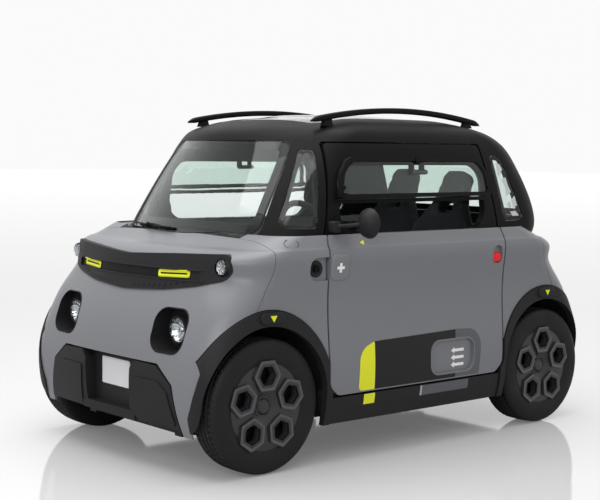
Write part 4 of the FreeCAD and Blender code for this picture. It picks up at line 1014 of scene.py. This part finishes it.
def flap_fittings(side, sign):
    """Hinge knuckles at the ends of the flap's lower bar, and its latch with the lever."""
    body = "door_" + side
    low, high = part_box(f"door_{side}_flap_frame")
    out = high.x if sign > 0 else -low.x
    for k, y in enumerate((-0.452, 0.441)):
        turned(f"flap_hinge_{k}_{side}", FLAP_HINGE, (sign * (out - 0.020), y - 0.016, FLAP_Z),
               (0, 1, 0), M["gloss"], body, steps=32)
        turned(f"flap_bolt_{k}_{side}", FLAP_BOLT, (sign * (out - 0.014), y, FLAP_Z + 0.034),
               (sign, 0, 0.2), M["gloss"], body, steps=32)
    x = sign * (out - 0.062)
    for k, y in enumerate((-0.012, 0.052)):
        rows = [[(x - sign * 0.012, y + t, 1.275), (x + sign * 0.012, y + t, 1.275),
                 (x + sign * 0.014, y + t, 1.222), (x, y + t, 1.212),
                 (x - sign * 0.012, y + t, 1.222)] for t in (-0.007, 0.007)]
        grid_piece(f"latch_plate_{k}_{side}", rows, M["gloss"], body, wrap_u=True, caps=True)
    turned(f"latch_lever_{side}", LATCH_LEVER, (x + sign * 0.006, -0.014, 1.222), (0, 1, 0),
           M["lever"], body, steps=40)


def side_fittings(side, sign):
    """Lock, sill graphics, and pads with their marks on the wheel arches of one side."""
    view = from_side(sign)
    x, y, z = LOCK_PLACE
    place = (sign * x, sign * y, z)
    turned(f"lock_cup_{side}", LOCK_CUP, place, (sign, 0, 0), M["trim"])
    turned(f"lock_{side}", LOCK, place, (sign, 0, 0), M["gloss"], steps=56)
    sills = skin("side_sills")
    for name, start, end, corner, material in (("yellow", -0.345, -0.281, 0.002, "yellow"),
                                               ("black", -0.277, -0.004, 0.002, "sheet"),
                                               ("grey", 0.012, 0.312, 0.002, "sheet_grey"),
                                               ("tab", -0.002, 0.010, 0.001, "sheet_light")):
        outline = rounded(oblong(start, SILL_LOW, end, SILL_HIGH), corner)
        patch(f"sill_{name}_{side}", on_side(sign, outline), sills, view, M[material],
              lift=0.0008, skirt=0.002)
    trims = skin("wheel_arch_trims")
    for end, y in ARCH_PADS:
        outline = rounded(oblong(y - 0.063, 0.617, y + 0.063, 0.663), 0.0225)
        pad(f"arch_pad_{end}_{side}", outline, trims, view, M["trim"], "body",
            ARCH_PAD_PROFILE)
        mark = [(y, 0.625), (y + 0.017, 0.651), (y - 0.017, 0.651)]
        patch(f"arch_mark_{end}_{side}", mark, trims, view, M["yellow"], lift=0.0108,
              skirt=0.0012)


def wing_cover():
    """Thin outline of the socket cover on top of the left front wing."""
    tree = skin("side_panels_left", "front_fascia")
    outline = rounded([(-0.790, 0.922), (-0.712, 0.920), (-0.704, 0.944),
                       (-0.752, 0.950)], 0.009)
    ring("wing_cover_line", outline, shrunk(outline, 0.0026), tree, from_side(1), M["dark"],
         lift=0.0004)


def roof_rails():
    """Rails with rounded tips on two feet a side, in place of the plain bars."""
    low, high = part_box("roof_rails")
    roof = skin("roof_panel", "greenhouse_frame")
    section = rounded([(1.0, -1.0), (1.0, 1.0), (-1.0, 1.0), (-1.0, -1.0)], 0.55, 4)
    crown = high.z - RAIL_DEPTH / 2
    for side, sign in SIDES:
        centre = sign * (high.x - RAIL_WIDTH / 2)
        rows = []
        for k in range(RAIL_STEPS + 1):
            share = k / RAIL_STEPS
            y = low.y + (high.y - low.y) * share
            bow = crown - RAIL_BOW * (2 * share - 1) ** 2
            near_tip = min(1.0, min(share, 1 - share) / RAIL_TIP) * math.pi / 2
            tip = min(1.0, RAIL_TIP_SIZE + (1 - RAIL_TIP_SIZE) * math.sin(near_tip))
            rows.append([(centre + RAIL_WIDTH / 2 * tip * u, y,
                          bow + RAIL_DEPTH / 2 * tip * v - RAIL_TIP_DROP * (1 - tip))
                         for u, v in section])
        bar = grid_piece(f"roof_rail_bar_{side}", rows, M["gloss"], "body", wrap_u=True,
                         caps=True)
        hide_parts("roof_rails")
        for end, share in RAIL_FEET:
            y = low.y + (high.y - low.y) * share
            top = crown - RAIL_BOW * (2 * share - 1) ** 2
            ground = land(roof, from_above, centre, y, 0.0).z
            levels = ((top - 0.002, 0.72), ((top + ground) / 2, 0.78), (ground + 0.003, 0.95),
                      (ground - 0.002, 1.05))
            rows = [[(centre + FOOT_HALF[0] * size * u, y + FOOT_HALF[1] * size * v, level)
                     for u, v in section] for level, size in levels]
            grid_piece(f"roof_rail_foot_{end}_{side}", rows, M["gloss"], "body", wrap_u=True,
                       caps=True)


def steering_parts():
    """Padded boss of the steering wheel."""
    low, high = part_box("steering_wheel")
    axis = (0, math.cos(STEERING_TILT), math.sin(STEERING_TILT))
    turned("steering_boss", STEERING_BOSS, (low + high) / 2, axis, M["cabin"],
           "steering_wheel")


def seats():
    """Padded seats, swollen from the plain seat solids."""
    for node in ("driver_seat", "passenger_seat"):
        mesh = nodes[node].data.copy()
        mesh.name = node + "_cushion"
        piece = bpy.data.objects.new(node + "_cushion", mesh)
        scene.collection.objects.link(piece)
        mesh.materials.clear()
        mesh.materials.append(M["seat"])
        keep_result(piece, add_remesh)
        start = [v.co.copy() for v in piece.data.vertices]
        keep_result(piece, add_swell, SWELL_FRAMES)
        for vert, before in zip(piece.data.vertices, start):
            gone = vert.co - before
            if gone.length > SWELL_CAP:
                vert.co = before + gone.normalized() * SWELL_CAP
        keep_result(piece, add_smooth)
        piece.data.shade_smooth()
        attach(piece, "body")
        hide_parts(node)


def add_remesh(piece):
    shape = piece.modifiers.new("remesh", "REMESH")
    shape.mode = "VOXEL"
    shape.voxel_size = SEAT_VOXEL


def add_swell(piece):
    cloth = piece.modifiers.new("swell", "CLOTH")
    settings = cloth.settings
    settings.use_pressure = True
    settings.uniform_pressure_force = SWELL_PRESSURE
    settings.effector_weights.gravity = 0.0
    settings.quality = SWELL_QUALITY
    settings.tension_stiffness = SWELL_STIFFNESS
    cloth.point_cache.frame_end = SWELL_FRAMES


def add_smooth(piece):
    calm = piece.modifiers.new("calm", "SMOOTH")
    calm.iterations = 3
    finer = piece.modifiers.new("finer", "SUBSURF")
    finer.levels = 1


def keep_result(piece, add, frames=0):
    """Add modifiers, step the frames they need, and keep their result as the mesh."""
    add(piece)
    for k in range(1, frames + 1):
        scene.frame_set(k)
    graph = bpy.context.evaluated_depsgraph_get()
    shaped = bpy.data.meshes.new_from_object(piece.evaluated_get(graph))
    shaped.name = piece.data.name
    piece.modifiers.clear()
    piece.data = shaped
    if frames:
        scene.frame_set(1)


def dress_wheels():
    for end, _ in ENDS:
        for side, sign in SIDES:
            body = f"wheel_{end}_{side}"
            tyre(f"tread_{end}_{side}", f"tyre_{end}_{side}", body)
            wheel_details(body, sign)


camera()
studio()
dress_frame()
dress_wheels()
door_graphics()
window_borders()
wiper()
steering_parts()
seats()
wing_cover()
roof_rails()
for end_name, end_sign in ENDS:
    band_details(end_name, end_sign)
    lamps(end_name, end_sign)
    lamp_bezel_rims(end_name, end_sign)
    plate(end_name, end_sign)
for side_name, side_sign in SIDES:
    mirror(side_name, side_sign)
    flap_fittings(side_name, side_sign)
    side_fittings(side_name, side_sign)
